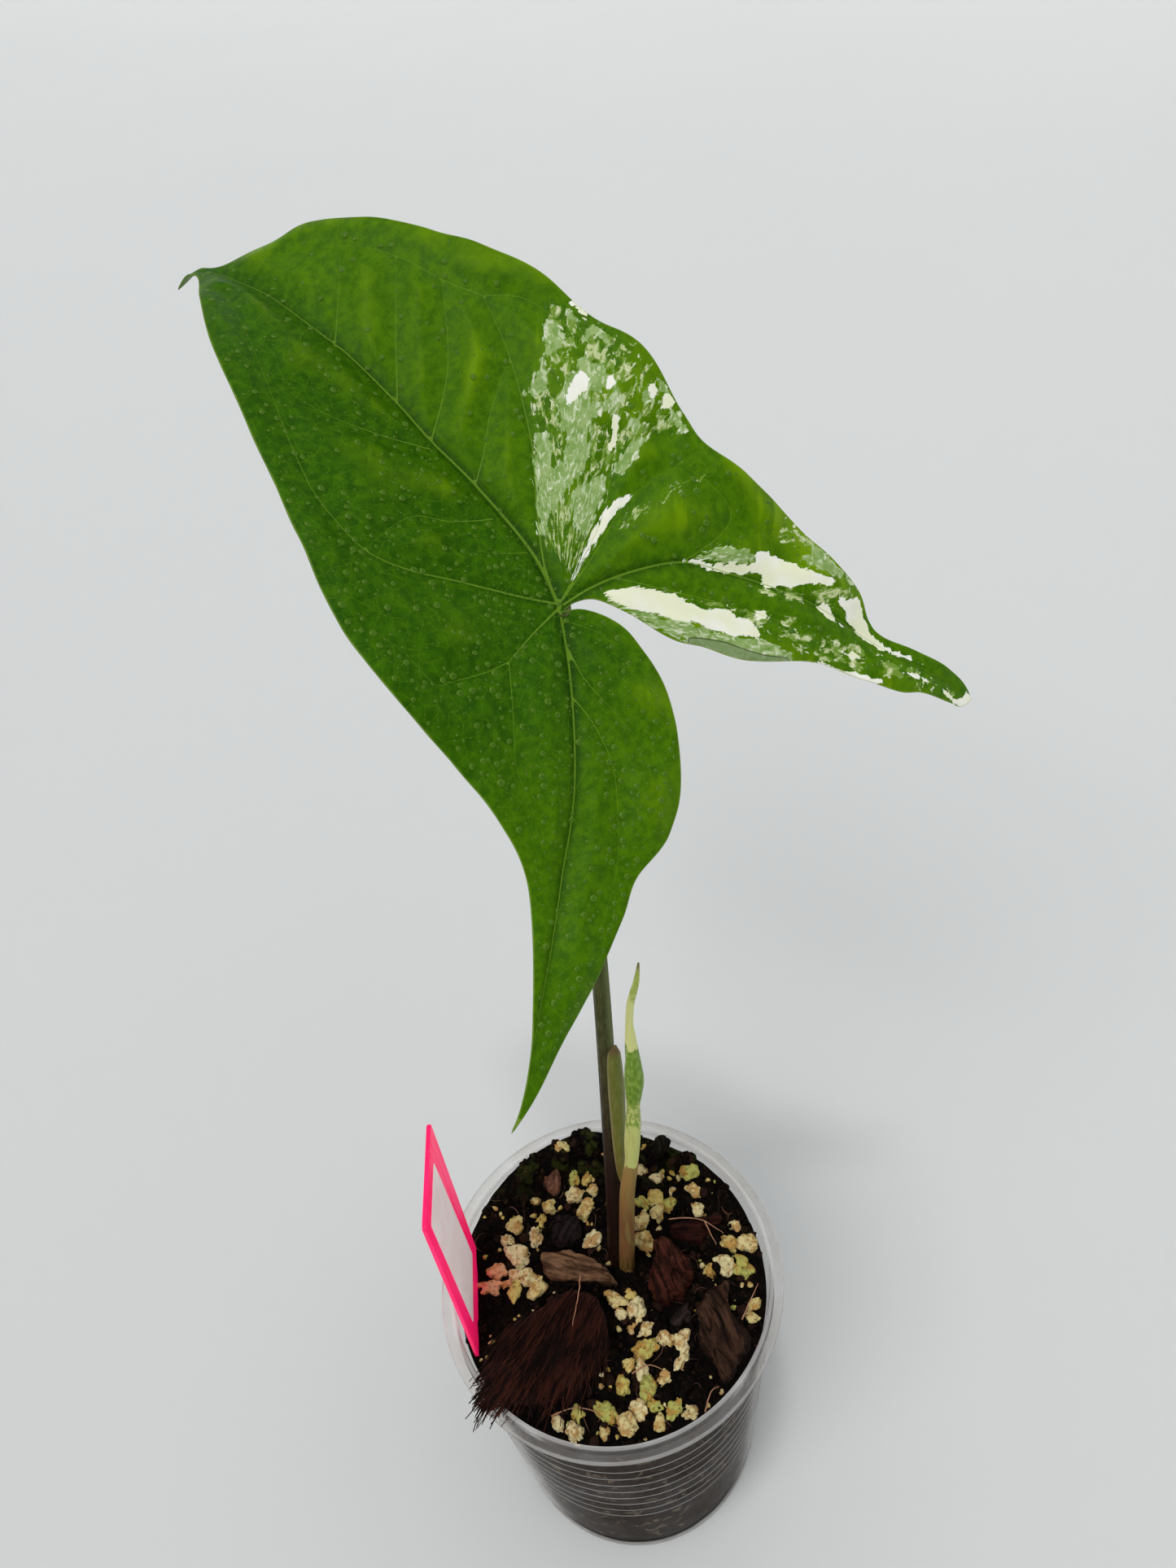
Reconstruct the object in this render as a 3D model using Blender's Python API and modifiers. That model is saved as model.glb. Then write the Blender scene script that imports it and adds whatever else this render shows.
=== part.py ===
"""Arrowhead plant in a clear ribbed nursery cup, with one open leaf and one rolled new leaf.

Metres, +Z up. The origin is the middle of the cup's flat underside and +Y points away from the
side that the plant is usually seen from. Points of outlines are written in millimetres.
"""
import math
import random

import bmesh
import bpy
from mathutils import Vector, geometry, noise

MM = 0.001
CLEARANCE = 0.0003
MODEL_NAME = "arrowhead_plant"

# Cup
CUP_HEIGHT = 0.079
CUP_RIM_RADIUS = 0.035
CUP_TOP_RADIUS = 0.0331
CUP_BASE_RADIUS = 0.029
CUP_WALL = 0.0009
CUP_FLOOR = 0.0012
CUP_EDGE_ROUND = 0.0015
RIM_BEAD_RADIUS = 0.0012
RIB_COUNT = 8
RIB_FIRST_DEPTH = 0.015
RIB_LAST_DEPTH = 0.0493
RIB_HALF_WIDTH = 0.0006
RIB_HEIGHT = 0.00035
CUP_STEPS = 56

# Soil
SOIL_TOP = 0.0745
SOIL_EDGE_TOP = 0.0732
SOIL_RINGS = 9
SOIL_STEPS = 40
SOIL_BUMP = 0.0013
SOIL_BUMP_SIZE = 0.006
STEM_HOLE_FLOOR = 0.062
STEM_HOLE_PLAY = 0.0006

# Pumice grains: middle of each cluster (mm), number of grains and spread (mm)
PUMICE_CLUSTERS = (
    (-10, 28, 3, 3), (-5, 22, 5, 3.5), (-4, 15, 2, 2), (-14, 17, 3, 3), (-19, 11, 5, 5), (-3, 9, 3, 2.5),
    (11, 22, 2, 2.5), (19, 20, 1, 1), (10, 13, 5, 4), (18, 14, 2, 3), (8, 7, 1, 1), (27, 5, 3, 3),
    (25, -1, 2, 2), (20, -2, 2, 1.5), (27, -11, 3, 3), (3, -5, 4, 3.5), (5, -10, 2, 2), (4, -19, 6, 4.5),
    (12, -14, 4, 2.5), (12, -18, 2, 2), (-25, 2, 3, 4), (-18, 0, 4, 3), (-11, -25, 4, 4), (-2, -27, 3, 3),
    (6, -27, 4, 4), (11, -27, 2, 2),
)
PUMICE_SEED = 7
PUMICE_SMALL = 0.0013
PUMICE_LARGE = 0.0026
PUMICE_REACH = 0.0295

# Leaf blade: where the stalk meets it, its midrib direction and its upper side
BLADE_JOINT = Vector((0.0082, 0.0404, 0.2116))
BLADE_ALONG = Vector((-0.573, 0.550, 0.608)).normalized()
BLADE_UP = Vector((0.241, -0.596, 0.766)).normalized()
BLADE_RIGHT = BLADE_ALONG.cross(BLADE_UP).normalized()
BLADE_THICKNESS = 0.0007
BLADE_SPACING = 0.0042
BLADE_STEP = 0.0036
MIDRIB_BOW = 0.0030
MIDRIB_LENGTH = 0.080
FOLD_SLOPE = 0.36
FOLD_ROUND = 0.003
FOLD_START = -0.005
FOLD_BLEND = 0.008
ARCH = 0.8
LOBE_DROOP = 3.0
BEND_START = 0.050
BEND_RADIUS = 0.048
CURL_START = 0.0845
CURL_RADIUS = 0.005
WAVE_HEIGHT = 0.0007
WAVE_LENGTH = 0.023
WAVE_REACH = 0.03

# Outline of the flattened blade (mm): right of the midrib, along it from the stalk
LEFT_LOBE_INNER = (
    (-0.6, -0.7), (2.2, -2.4), (4.5, -6.5), (5.2, -11.6), (3.7, -20.5), (-3.2, -31.1), (-10.5, -36.5),
    (-18.9, -37.9), (-24.9, -41.0), (-33.6, -44.8), (-43.1, -48.3), (-52.3, -51.6), (-57.0, -52.6),
)
LEFT_MARGIN = (
    (-53.1, -50.6), (-46.9, -45.2), (-40.4, -38.0), (-34.6, -31.2), (-31.1, -25.4), (-29.6, -17.4),
    (-29.5, -7.6), (-30.3, 7.3), (-29.1, 16.8), (-25.5, 28.6), (-21.9, 39.1), (-17.9, 50.7),
    (-13.6, 62.2), (-8.0, 73.5), (-3.6, 82.0), (-3.9, 86.2), (-5.6, 89.4),
)
RIGHT_MARGIN = (
    (-1.9, 87.0), (0.0, 82.0), (3.4, 79.6), (7.4, 77.2), (12.1, 74.9), (14.9, 72.2), (18.4, 67.1),
    (22.7, 59.4), (27.4, 50.3), (31.4, 39.5), (32.8, 29.6), (34.8, 21.0), (33.6, 9.9), (33.4, 2.6),
    (38.3, -10.1), (40.7, -19.5), (42.4, -28.6), (41.2, -34.0), (42.0, -37.9), (46.6, -45.6),
    (50.3, -52.8), (50.7, -57.0),
)
RIGHT_LOBE_INNER = (
    (47.9, -56.5), (45.9, -54.2), (41.4, -49.2), (37.5, -46.0), (31.4, -37.4), (27.3, -32.3),
    (20.3, -27.1), (16.8, -23.8), (13.5, -18.9), (10.2, -15.0), (7.3, -7.7), (4.9, -2.6), (2.0, -0.7),
)

# Stalk of the open leaf: points along it (mm) and its radii
STALK_PATH = (
    (0.9, 4.2, 62.3), (0.9, 4.2, 68), (0.95, 4.3, 74), (1.6, 6.5, 83.5), (3.5, 12.7, 107), (6.0, 21.8, 142),
    (7.5, 31.2, 177), (8.3, 37.7, 201), (8.0, 40.7, 209.4),
)
STALK_FOOT_RADIUS = 0.0019
STALK_TOP_RADIUS = 0.0012
SHEATH_PATH = ((1.8, 4.6, 78), (3.0, 7.0, 88), (4.9, 11.3, 105), (6.5, 15.2, 121), (7.1, 17.6, 130))
SHEATH_HALF_WIDTH = 0.0021
SHEATH_FLATNESS = 0.42

# Rolled new leaf: points along it (mm) with its radius there (mm)
NEW_LEAF_PATH = (
    (4.0, 1.2, 62.3, 1.7), (4.0, 1.2, 68, 1.75), (4.05, 1.2, 74, 1.75), (4.8, 1.6, 84, 1.65), (5.9, 2.2, 98, 1.55),
    (7.4, 3.0, 114, 1.5), (8.0, 3.4, 119, 2.0), (9.1, 4.4, 131, 2.1), (9.9, 5.0, 139, 2.25), (10.9, 5.5, 146, 1.5),
    (10.4, 6.0, 154, 0.8), (11.8, 6.6, 161, 0.6), (12.9, 7.0, 166.5, 0.25),
)
NEW_LEAF_FOOT_RADIUS = 0.00175

# Card on the left: it stands upright along Y with its foot tapering into the soil
CARD_X = -0.0284
CARD_THICKNESS = 0.0008
CARD_OUTLINE = ((-11.5, 127.5), (9.5, 126.0), (9.8, 73.5), (3.5, 56.5), (-5.0, 56.5), (-11.5, 73.5))

# Pieces of bark and coir: outline (mm), the height of the top (mm) and the roundness of its edge (mm)
CHUNKS = {
    "coir_chunk": (((-15.3, -5.6), (-7.7, -2.6), (-2.9, -5.1), (-1.6, -10.9), (-2.0, -15.1), (-6.6, -19.8),
                    (-12.8, -22.4), (-22.0, -21.2), (-25.4, -17.4), (-24.6, -12.8), (-21.2, -8.2)), 79.4, 1.3),
    "bark_long": (((-14.7, 6.7), (-9.0, 6.1), (-4.4, 4.6), (-1.9, 2.4), (1.2, -1.6), (-1.2, -1.4), (-7.6, 0.2),
                   (-12.6, 1.5), (-14.3, 4.1)), 77.2, 0.6),
    "bark_nugget": (((10.8, 5.4), (13.8, 4.0), (16.3, -1.2), (15.0, -4.9), (10.3, -7.0), (7.4, -4.9), (7.9, -1.4),
                     (9.3, 2.1)), 80.0, 2.0),
    "bark_slab": (((19.8, -5.0), (23.0, -5.0), (23.1, -9.3), (25.7, -14.6), (24.3, -17.6), (19.6, -22.6),
                   (18.1, -19.6), (16.2, -14.7), (16.6, -10.2), (18.8, -7.0)), 77.8, 0.7),
    "bark_small": (((12.1, -8.6), (15.0, -7.0), (15.0, -9.2), (14.2, -10.8), (11.4, -10.6)), 76.8, 0.5),
    "bark_back": (((13.4, 8.6), (18.0, 9.4), (24.5, 8.7), (21.7, 6.3), (18.1, 4.6), (13.8, 6.2)), 77.0, 0.6),
    "bark_left": (((-11.9, 13.4), (-8.4, 14.4), (-5.6, 11.8), (-6.4, 8.6), (-9.9, 8.2), (-12.3, 10.3)), 77.6, 1.2),
    "bark_flake": (((-11.5, 27.2), (-9.8, 26.0), (-9.5, 21.2), (-10.8, 20.0), (-12.3, 22.1), (-12.5, 25.3)),
                   77.0, 0.7),
    "bark_stub": (((12.5, 26.3), (14.6, 27.0), (15.8, 25.8), (14.6, 23.4), (12.4, 23.4)), 81.0, 0.8),
}
CHUNK_BOTTOM = 0.0720
CHUNK_ROUGHNESS = 0.0004

# Colours: base colour, roughness
COLOURS = {
    "cup_plastic": ((0.80, 0.81, 0.83), 0.35),
    "soil": ((0.012, 0.009, 0.007), 0.95),
    "leaf": ((0.055, 0.21, 0.012), 0.35),
    "stalk": ((0.10, 0.12, 0.05), 0.45),
    "new_leaf": ((0.45, 0.55, 0.25), 0.45),
    "card": ((0.95, 0.03, 0.18), 0.6),
    "coir": ((0.035, 0.012, 0.008), 0.9),
    "bark": ((0.11, 0.055, 0.035), 0.85),
}


def clear_scene():
    for item in list(bpy.data.objects):
        bpy.data.objects.remove(item, do_unlink=True)


def new_collection(name):
    collection = bpy.data.collections.new(name)
    bpy.context.scene.collection.children.link(collection)
    return collection


def new_material(name, colour, roughness):
    material = bpy.data.materials.new(name)
    material.use_nodes = True
    shader = material.node_tree.nodes["Principled BSDF"]
    shader.inputs["Base Color"].default_value = (*colour, 1.0)
    shader.inputs["Roughness"].default_value = roughness
    shader.inputs["Metallic"].default_value = 0.0
    return material


def finish_of(name, kind):
    colour, roughness = COLOURS[kind]
    return new_material(name + "_material", colour, roughness)


def add_object(name, mesh, collection):
    item = bpy.data.objects.new(name, mesh)
    collection.objects.link(item)
    return item


def evaluated_mesh(item):
    bpy.context.view_layer.update()
    graph = bpy.context.evaluated_depsgraph_get()
    return bpy.data.meshes.new_from_object(item.evaluated_get(graph))


def weld(mesh, distance=0.00001):
    work = bmesh.new()
    work.from_mesh(mesh)
    bmesh.ops.remove_doubles(work, verts=work.verts, dist=distance)
    bmesh.ops.triangulate(work, faces=work.faces)
    bmesh.ops.recalc_face_normals(work, faces=work.faces)
    work.to_mesh(mesh)
    work.free()


def turned(name, profile, steps, collection):
    """A profile of (radius, height) points, turned about Z by a Screw modifier."""
    mesh = bpy.data.meshes.new(name)
    points = [(radius, 0.0, height) for radius, height in profile]
    edges = [(i, i + 1) for i in range(len(points) - 1)]
    mesh.from_pydata(points, edges, [])
    item = add_object(name, mesh, collection)
    screw = item.modifiers.new("Screw", "SCREW")
    screw.steps = steps
    screw.render_steps = steps
    screw.use_merge_vertices = True
    screw.merge_threshold = 0.00001
    return item


def make_mesh_object(item, collection):
    """Replace an object by a plain mesh of what its modifiers make."""
    mesh = evaluated_mesh(item)
    name = item.name
    bpy.data.objects.remove(item, do_unlink=True)
    weld(mesh)
    return add_object(name, mesh, collection)


def join_or_cut(target, operation, collection):
    """Join every object of a collection to the target, or cut it with them, and remove them."""
    change = target.modifiers.new(operation, "BOOLEAN")
    change.operation = operation
    change.solver = "EXACT"
    change.use_self = operation == "UNION"
    change.operand_type = "COLLECTION"
    change.collection = collection
    mesh = evaluated_mesh(target)
    target.modifiers.clear()
    target.data = mesh
    for item in list(collection.objects):
        bpy.data.objects.remove(item, do_unlink=True)
    weld(mesh)


def hide_cutter(item):
    item.hide_render = True
    item.display_type = "WIRE"


def smooth_points(points, per_span):
    """Points on a Catmull-Rom curve through the given points, of any dimension."""
    result = []
    last = len(points) - 1
    for i in range(last):
        before = points[max(i - 1, 0)]
        start = points[i]
        end = points[i + 1]
        after = points[min(i + 2, last)]
        for k in range(per_span):
            t = k / per_span
            weights = (
                -0.5 * t + t * t - 0.5 * t ** 3,
                1 - 2.5 * t * t + 1.5 * t ** 3,
                0.5 * t + 2 * t * t - 1.5 * t ** 3,
                -0.5 * t * t + 0.5 * t ** 3,
            )
            rows = zip(before, start, end, after)
            result.append(tuple(sum(w * c for w, c in zip(weights, row)) for row in rows))
    result.append(tuple(points[-1]))
    return result


def tube(name, points, radii, collection, sides_level=2):
    """A round bar along points, with a radius at each point, as a closed mesh."""
    curve = bpy.data.curves.new(name, "CURVE")
    curve.dimensions = "3D"
    curve.bevel_depth = 1.0
    curve.bevel_resolution = sides_level
    curve.use_fill_caps = True
    spline = curve.splines.new("POLY")
    spline.points.add(len(points) - 1)
    for spot, point, radius in zip(spline.points, points, radii):
        spot.co = (*point, 1.0)
        spot.radius = radius
    return make_mesh_object(add_object(name, curve, collection), collection)


def cup_radius(height):
    share = height / CUP_HEIGHT
    return CUP_BASE_RADIUS + (CUP_TOP_RADIUS - CUP_BASE_RADIUS) * share


def build_cup(collection):
    bead_height = CUP_HEIGHT - RIM_BEAD_RADIUS
    bead_middle = CUP_RIM_RADIUS - RIM_BEAD_RADIUS
    profile = [(0.0, CUP_FLOOR), (cup_radius(CUP_FLOOR) - CUP_WALL, CUP_FLOOR)]
    profile.append((cup_radius(bead_height) - CUP_WALL, bead_height))
    for angle in (150, 110, 70, 30, -10, -50, -90):
        across = RIM_BEAD_RADIUS * math.cos(math.radians(angle))
        up = RIM_BEAD_RADIUS * math.sin(math.radians(angle))
        profile.append((bead_middle + across, bead_height + up))
    profile.append((cup_radius(bead_height - RIM_BEAD_RADIUS), bead_height - RIM_BEAD_RADIUS))
    pitch = (RIB_LAST_DEPTH - RIB_FIRST_DEPTH) / (RIB_COUNT - 1)
    for rib in range(RIB_COUNT):
        middle = CUP_HEIGHT - RIB_FIRST_DEPTH - pitch * rib
        for offset, proud in ((RIB_HALF_WIDTH, 0.0), (0.0, RIB_HEIGHT), (-RIB_HALF_WIDTH, 0.0)):
            profile.append((cup_radius(middle + offset) + proud, middle + offset))
    profile.append((cup_radius(CUP_EDGE_ROUND), CUP_EDGE_ROUND))
    profile.append((CUP_BASE_RADIUS - CUP_EDGE_ROUND * 0.3, CUP_EDGE_ROUND * 0.3))
    profile.append((CUP_BASE_RADIUS - CUP_EDGE_ROUND, 0.0))
    profile.append((0.0, 0.0))
    cup = turned("cup", profile, CUP_STEPS, collection)
    cup.data.materials.append(finish_of("cup", "cup_plastic"))
    return cup


def soil_height(x, y):
    """Height of the crumbly soil surface at a place, before the grains are set in it."""
    coarse = noise.noise(Vector((x, y, 0.0)) / SOIL_BUMP_SIZE)
    fine = noise.noise(Vector((x, y, 0.1)) / (0.4 * SOIL_BUMP_SIZE))
    edge = min(1.0, max(0.0, (math.hypot(x, y) - 0.024) / 0.007))
    return SOIL_TOP + (SOIL_EDGE_TOP - SOIL_TOP) * edge + SOIL_BUMP * (coarse + 0.5 * fine) * (1 - 0.6 * edge)


def inside(x, y, outline, margin):
    """Whether a place lies inside an outline in millimetres, or nearer to it than the margin."""
    point = Vector((x, y))
    within = False
    for i, corner in enumerate(outline):
        a = Vector(corner) * MM
        b = Vector(outline[i - 1]) * MM
        nearest, share = geometry.intersect_point_line(point, a, b)
        nearest = a if share < 0 else b if share > 1 else nearest
        if (point - nearest.to_2d()).length < margin:
            return True
        if (a.y > y) != (b.y > y) and x < a.x + (b.x - a.x) * (y - a.y) / (b.y - a.y):
            within = not within
    return within


def pumice_places():
    """Middle and radius of each pumice grain: seeded clusters, clear of bark, stems and card."""
    draw = random.Random(PUMICE_SEED)
    places = []
    for middle_x, middle_y, count, spread in PUMICE_CLUSTERS:
        placed = 0
        for _ in range(60):
            angle = draw.uniform(0, math.tau)
            reach = spread * MM * math.sqrt(draw.random())
            size = draw.uniform(PUMICE_SMALL, PUMICE_LARGE)
            x = middle_x * MM + reach * math.cos(angle)
            y = middle_y * MM + reach * math.sin(angle)
            blocked = math.hypot(x, y) > PUMICE_REACH or abs(x - CARD_X) < size + 0.0012
            blocked = blocked or any(inside(x, y, chunk[0], size * 0.9 + 0.0004) for chunk in CHUNKS.values())
            for path, radius in ((STALK_PATH, STALK_FOOT_RADIUS), (NEW_LEAF_PATH, NEW_LEAF_FOOT_RADIUS)):
                foot = Vector(path[0][:2]) * MM
                blocked = blocked or (Vector((x, y)) - foot).length < size + radius + 0.0008
            blocked = blocked or any(math.hypot(x - a, y - b) < 0.82 * (size + c) for a, b, c in places)
            if not blocked:
                places.append((x, y, size))
                placed += 1
            if placed == count:
                break
    return places


def build_grain(name, x, y, size, seed, collection):
    """One knobbly pumice grain: a coarse ball pushed in and out, a third of it sunk in the soil."""
    mesh = bpy.data.meshes.new(name)
    work = bmesh.new()
    bmesh.ops.create_uvsphere(work, u_segments=7, v_segments=5, radius=size)
    for corner in work.verts:
        push = noise.noise(corner.co * 420 + Vector((seed * 3.1, 0, 0)))
        corner.co *= 1.0 + 0.28 * push
        corner.co.z *= 0.85
    bmesh.ops.rotate(work, verts=work.verts, cent=(0, 0, 0), matrix=Vector((1, 0, 0)).rotation_difference(
        Vector((math.cos(seed), math.sin(seed), 0.25))).to_matrix())
    bmesh.ops.translate(work, verts=work.verts, vec=(x, y, soil_height(x, y) + 0.3 * size))
    bmesh.ops.triangulate(work, faces=work.faces)
    work.to_mesh(mesh)
    work.free()
    return add_object(name, mesh, collection)


def build_soil(collection, grains, cutters):
    """The soil plug, with pumice set in its top, holes for the stems and seats for the bark."""
    floor = CUP_FLOOR + CLEARANCE
    side = CUP_WALL + CLEARANCE
    profile = [(0.0, SOIL_TOP)]
    outer = cup_radius(SOIL_EDGE_TOP) - side
    for ring in range(1, SOIL_RINGS + 1):
        profile.append((outer * ring / SOIL_RINGS, SOIL_TOP))
    profile[-1] = (outer, SOIL_EDGE_TOP)
    profile.append((cup_radius(0.5 * SOIL_EDGE_TOP) - side, 0.5 * SOIL_EDGE_TOP))
    profile.append((cup_radius(floor) - side, floor))
    profile.append((0.0, floor))
    soil = make_mesh_object(turned("soil", profile, SOIL_STEPS, collection), collection)
    for corner in soil.data.vertices:
        reach = math.hypot(corner.co.x, corner.co.y)
        if corner.co.z > SOIL_TOP - 0.0001 and reach < outer - 0.0005:
            corner.co.z = soil_height(corner.co.x, corner.co.y)
    for number, (x, y, size) in enumerate(pumice_places()):
        build_grain("grain_%02d" % number, x, y, size, number, grains)
    join_or_cut(soil, "UNION", grains)
    for item in cutters.objects:
        hide_cutter(item)
    join_or_cut(soil, "DIFFERENCE", cutters)
    soil.data.materials.append(finish_of("soil", "soil"))
    return soil


def stem_hole(name, foot, radius, cutters):
    """A plain upright hole for a stem, open at the top."""
    mesh = bpy.data.meshes.new(name)
    work = bmesh.new()
    depth = SOIL_TOP + 0.004 - STEM_HOLE_FLOOR
    bmesh.ops.create_cone(work, cap_ends=True, segments=16, radius1=radius, radius2=radius, depth=depth)
    bmesh.ops.translate(work, verts=work.verts, vec=(foot[0], foot[1], STEM_HOLE_FLOOR + 0.5 * depth))
    work.to_mesh(mesh)
    work.free()
    return add_object(name, mesh, cutters)


def slab_mesh(name, outline, bottom, top, edge, grow):
    """A slab with a rounded, roughened top over an outline, swollen outwards by a clearance."""
    mesh = bpy.data.meshes.new(name)
    work = bmesh.new()
    middle = sum((Vector(p) for p in outline), Vector((0, 0))) / len(outline)
    levels = ((bottom, 0.0), (top - edge, 0.0), (top - 0.3 * edge, 0.35), (top, 1.0))
    rings = []
    for height, inset in levels:
        ring = []
        for point in outline:
            inward = middle - Vector(point)
            place = Vector(point) + inward.normalized() * edge * 1000 * inset
            rough = noise.noise(Vector((place.x * 0.4, place.y * 0.4, height * 90)))
            lift = CHUNK_ROUGHNESS * rough if inset else 0.0
            ring.append(work.verts.new((place.x * MM, place.y * MM, height + lift)))
        rings.append(ring)
    count = len(outline)
    for low, high in zip(rings, rings[1:]):
        for i in range(count):
            work.faces.new((low[i], low[(i + 1) % count], high[(i + 1) % count], high[i]))
    crown = work.verts.new((middle.x * MM, middle.y * MM, top + CHUNK_ROUGHNESS))
    root = work.verts.new((middle.x * MM, middle.y * MM, bottom))
    for i in range(count):
        work.faces.new((rings[-1][i], rings[-1][(i + 1) % count], crown))
        work.faces.new((rings[0][(i + 1) % count], rings[0][i], root))
    bmesh.ops.triangulate(work, faces=work.faces)
    bmesh.ops.recalc_face_normals(work, faces=work.faces)
    if grow:
        work.normal_update()
        shift = {corner: corner.normal * corner.calc_shell_factor() * grow for corner in work.verts}
        for corner, move in shift.items():
            corner.co += move
    work.to_mesh(mesh)
    work.free()
    return mesh


def build_chunks(collection, cutters):
    """The bark and coir lying on the soil, each seated in a shallow hollow of its own shape."""
    for name, (outline, top, edge) in CHUNKS.items():
        mesh = slab_mesh(name, outline, CHUNK_BOTTOM, top * MM, edge * MM, 0.0)
        piece = add_object(name, mesh, collection)
        kind = "coir" if name.startswith("coir") else "bark"
        piece.data.materials.append(finish_of(name, kind))
        seat = slab_mesh(name + "_seat", outline, CHUNK_BOTTOM, top * MM, edge * MM, CLEARANCE)
        add_object(name + "_seat", seat, cutters)


def card_mesh(name, grow):
    """The card's upright outline, extruded to its thickness, swollen by a clearance."""
    mesh = bpy.data.meshes.new(name)
    work = bmesh.new()
    half = 0.5 * CARD_THICKNESS + grow
    middle = sum((Vector(p) for p in CARD_OUTLINE), Vector((0, 0))) / len(CARD_OUTLINE)
    for side in (-half, half):
        ring = []
        for point in CARD_OUTLINE:
            outward = (Vector(point) - middle).normalized()
            place = Vector(point) * MM + outward * grow * 1.6
            ring.append(work.verts.new((CARD_X + side, place.x, place.y)))
        work.faces.new(ring)
    bmesh.ops.bridge_loops(work, edges=work.edges)
    bmesh.ops.triangulate(work, faces=work.faces)
    bmesh.ops.recalc_face_normals(work, faces=work.faces)
    work.to_mesh(mesh)
    work.free()
    return mesh


def build_card(collection, cutters):
    card = add_object("plant_card", card_mesh("plant_card", 0.0), collection)
    card.data.materials.append(finish_of("plant_card", "card"))
    add_object("card_slot", card_mesh("card_slot", CLEARANCE), cutters)


def bent_sheet(along):
    """Where a point of the flat blade comes to lie once the blade curls down towards its tip."""
    if along <= BEND_START:
        return along, 0.0
    bend = (min(along, CURL_START) - BEND_START) / BEND_RADIUS
    forward = BEND_START + BEND_RADIUS * math.sin(bend)
    drop = BEND_RADIUS * (1 - math.cos(bend))
    if along > CURL_START:
        curl = bend + (along - CURL_START) / CURL_RADIUS
        forward += CURL_RADIUS * (math.sin(curl) - math.sin(bend))
        drop += CURL_RADIUS * (math.cos(bend) - math.cos(curl))
    return forward, drop


def blade_point(across, along):
    """A point of the blade's upper face, from its place on the flattened blade."""
    forward, drop = bent_sheet(along)
    bow = MIDRIB_BOW * math.sin(math.pi * min(max(forward / MIDRIB_LENGTH, 0.0), 1.0))
    side = math.hypot(across - bow, FOLD_ROUND) - FOLD_ROUND
    share = 1.0 / (1.0 + math.exp((FOLD_START - forward) / FOLD_BLEND))
    height = FOLD_SLOPE * side * share - ARCH * across ** 2 - drop
    height -= LOBE_DROOP * min(forward, 0.0) ** 2
    edge = min(side / WAVE_REACH, 1.0) ** 2
    height += WAVE_HEIGHT * edge * math.sin(math.tau * along / WAVE_LENGTH + (2.0 if across > 0 else 0.0))
    return BLADE_JOINT + BLADE_RIGHT * across + BLADE_ALONG * forward + BLADE_UP * height


def blade_outline(step):
    """The blade's margin as evenly spaced points, in metres on the flattened blade."""
    runs = (LEFT_LOBE_INNER, LEFT_MARGIN, RIGHT_MARGIN, RIGHT_LOBE_INNER)
    corners = (runs[0], (runs[0][-1],) + runs[1], (runs[1][-1],) + runs[2], (runs[2][-1],) + runs[3] + (runs[0][0],))
    margin = []
    for run in corners:
        fine = [Vector(p) * MM for p in smooth_points(run, 12)]
        length = sum((b - a).length for a, b in zip(fine, fine[1:]))
        count = max(2, round(length / step))
        travelled = 0.0
        wanted = 0
        for a, b in zip(fine, fine[1:]):
            piece = (b - a).length
            while wanted < count and travelled + piece > length * wanted / count:
                share = (length * wanted / count - travelled) / piece
                margin.append(a.lerp(b, share))
                wanted += 1
            travelled += piece
    return margin


def build_blade(collection):
    """The open leaf: a sheet of triangles cut to the outline, laid on the curved blade, then thickened."""
    margin = blade_outline(BLADE_STEP)
    points = list(margin)
    outline = [tuple(p / MM) for p in margin]
    rows = int(0.16 / BLADE_SPACING)
    for row in range(rows):
        y = -0.06 + row * BLADE_SPACING * 0.87
        for column in range(rows):
            x = -0.06 + (column + 0.5 * (row % 2)) * BLADE_SPACING
            if inside(x, y, outline, 0.0) and not near_margin(x, y, margin):
                points.append(Vector((x, y)))
    edges = [(i, (i + 1) % len(margin)) for i in range(len(margin))]
    flat, _, faces, _, _, _ = geometry.delaunay_2d_cdt(points, edges, [], 1, 1e-7)
    mesh = bpy.data.meshes.new("leaf_blade")
    mesh.from_pydata([blade_point(p.x, p.y) for p in flat], [], faces)
    blade = add_object("leaf_blade", mesh, collection)
    thicken = blade.modifiers.new("Solidify", "SOLIDIFY")
    thicken.thickness = BLADE_THICKNESS
    thicken.offset = -1.0
    mesh.materials.append(finish_of("leaf_blade", "leaf"))
    return blade


def near_margin(x, y, margin):
    reach = 0.55 * BLADE_SPACING
    return any(abs(p.x - x) < reach and abs(p.y - y) < reach for p in margin)


def build_stalk(collection, parts):
    """The open leaf's stalk, with the sheath along its lower part joined to it."""
    path = [Vector(p) * MM for p in smooth_points(STALK_PATH, 5)]
    last = len(path) - 1
    radii = [STALK_FOOT_RADIUS + (STALK_TOP_RADIUS - STALK_FOOT_RADIUS) * i / last for i in range(last + 1)]
    stalk = tube("leaf_stalk", path, radii, collection)
    sheath_path = [Vector(p) * MM for p in smooth_points(SHEATH_PATH, 3)]
    ends = len(sheath_path) - 1
    widths = [SHEATH_HALF_WIDTH * (0.45 + 0.55 * math.sin(math.pi * (0.1 + 0.8 * i / ends))) for i in range(ends + 1)]
    sheath = tube("sheath", sheath_path, widths, parts)
    flatten(sheath, sheath_path)
    join_or_cut(stalk, "UNION", parts)
    stalk.data.materials.append(finish_of("leaf_stalk", "stalk"))
    return stalk


def flatten(item, path):
    """Press a bar flat from front to back, towards its own path."""
    for corner in item.data.vertices:
        nearest = min(path, key=lambda p: (p - corner.co).length)
        corner.co.y = nearest.y + (corner.co.y - nearest.y) * SHEATH_FLATNESS


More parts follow.
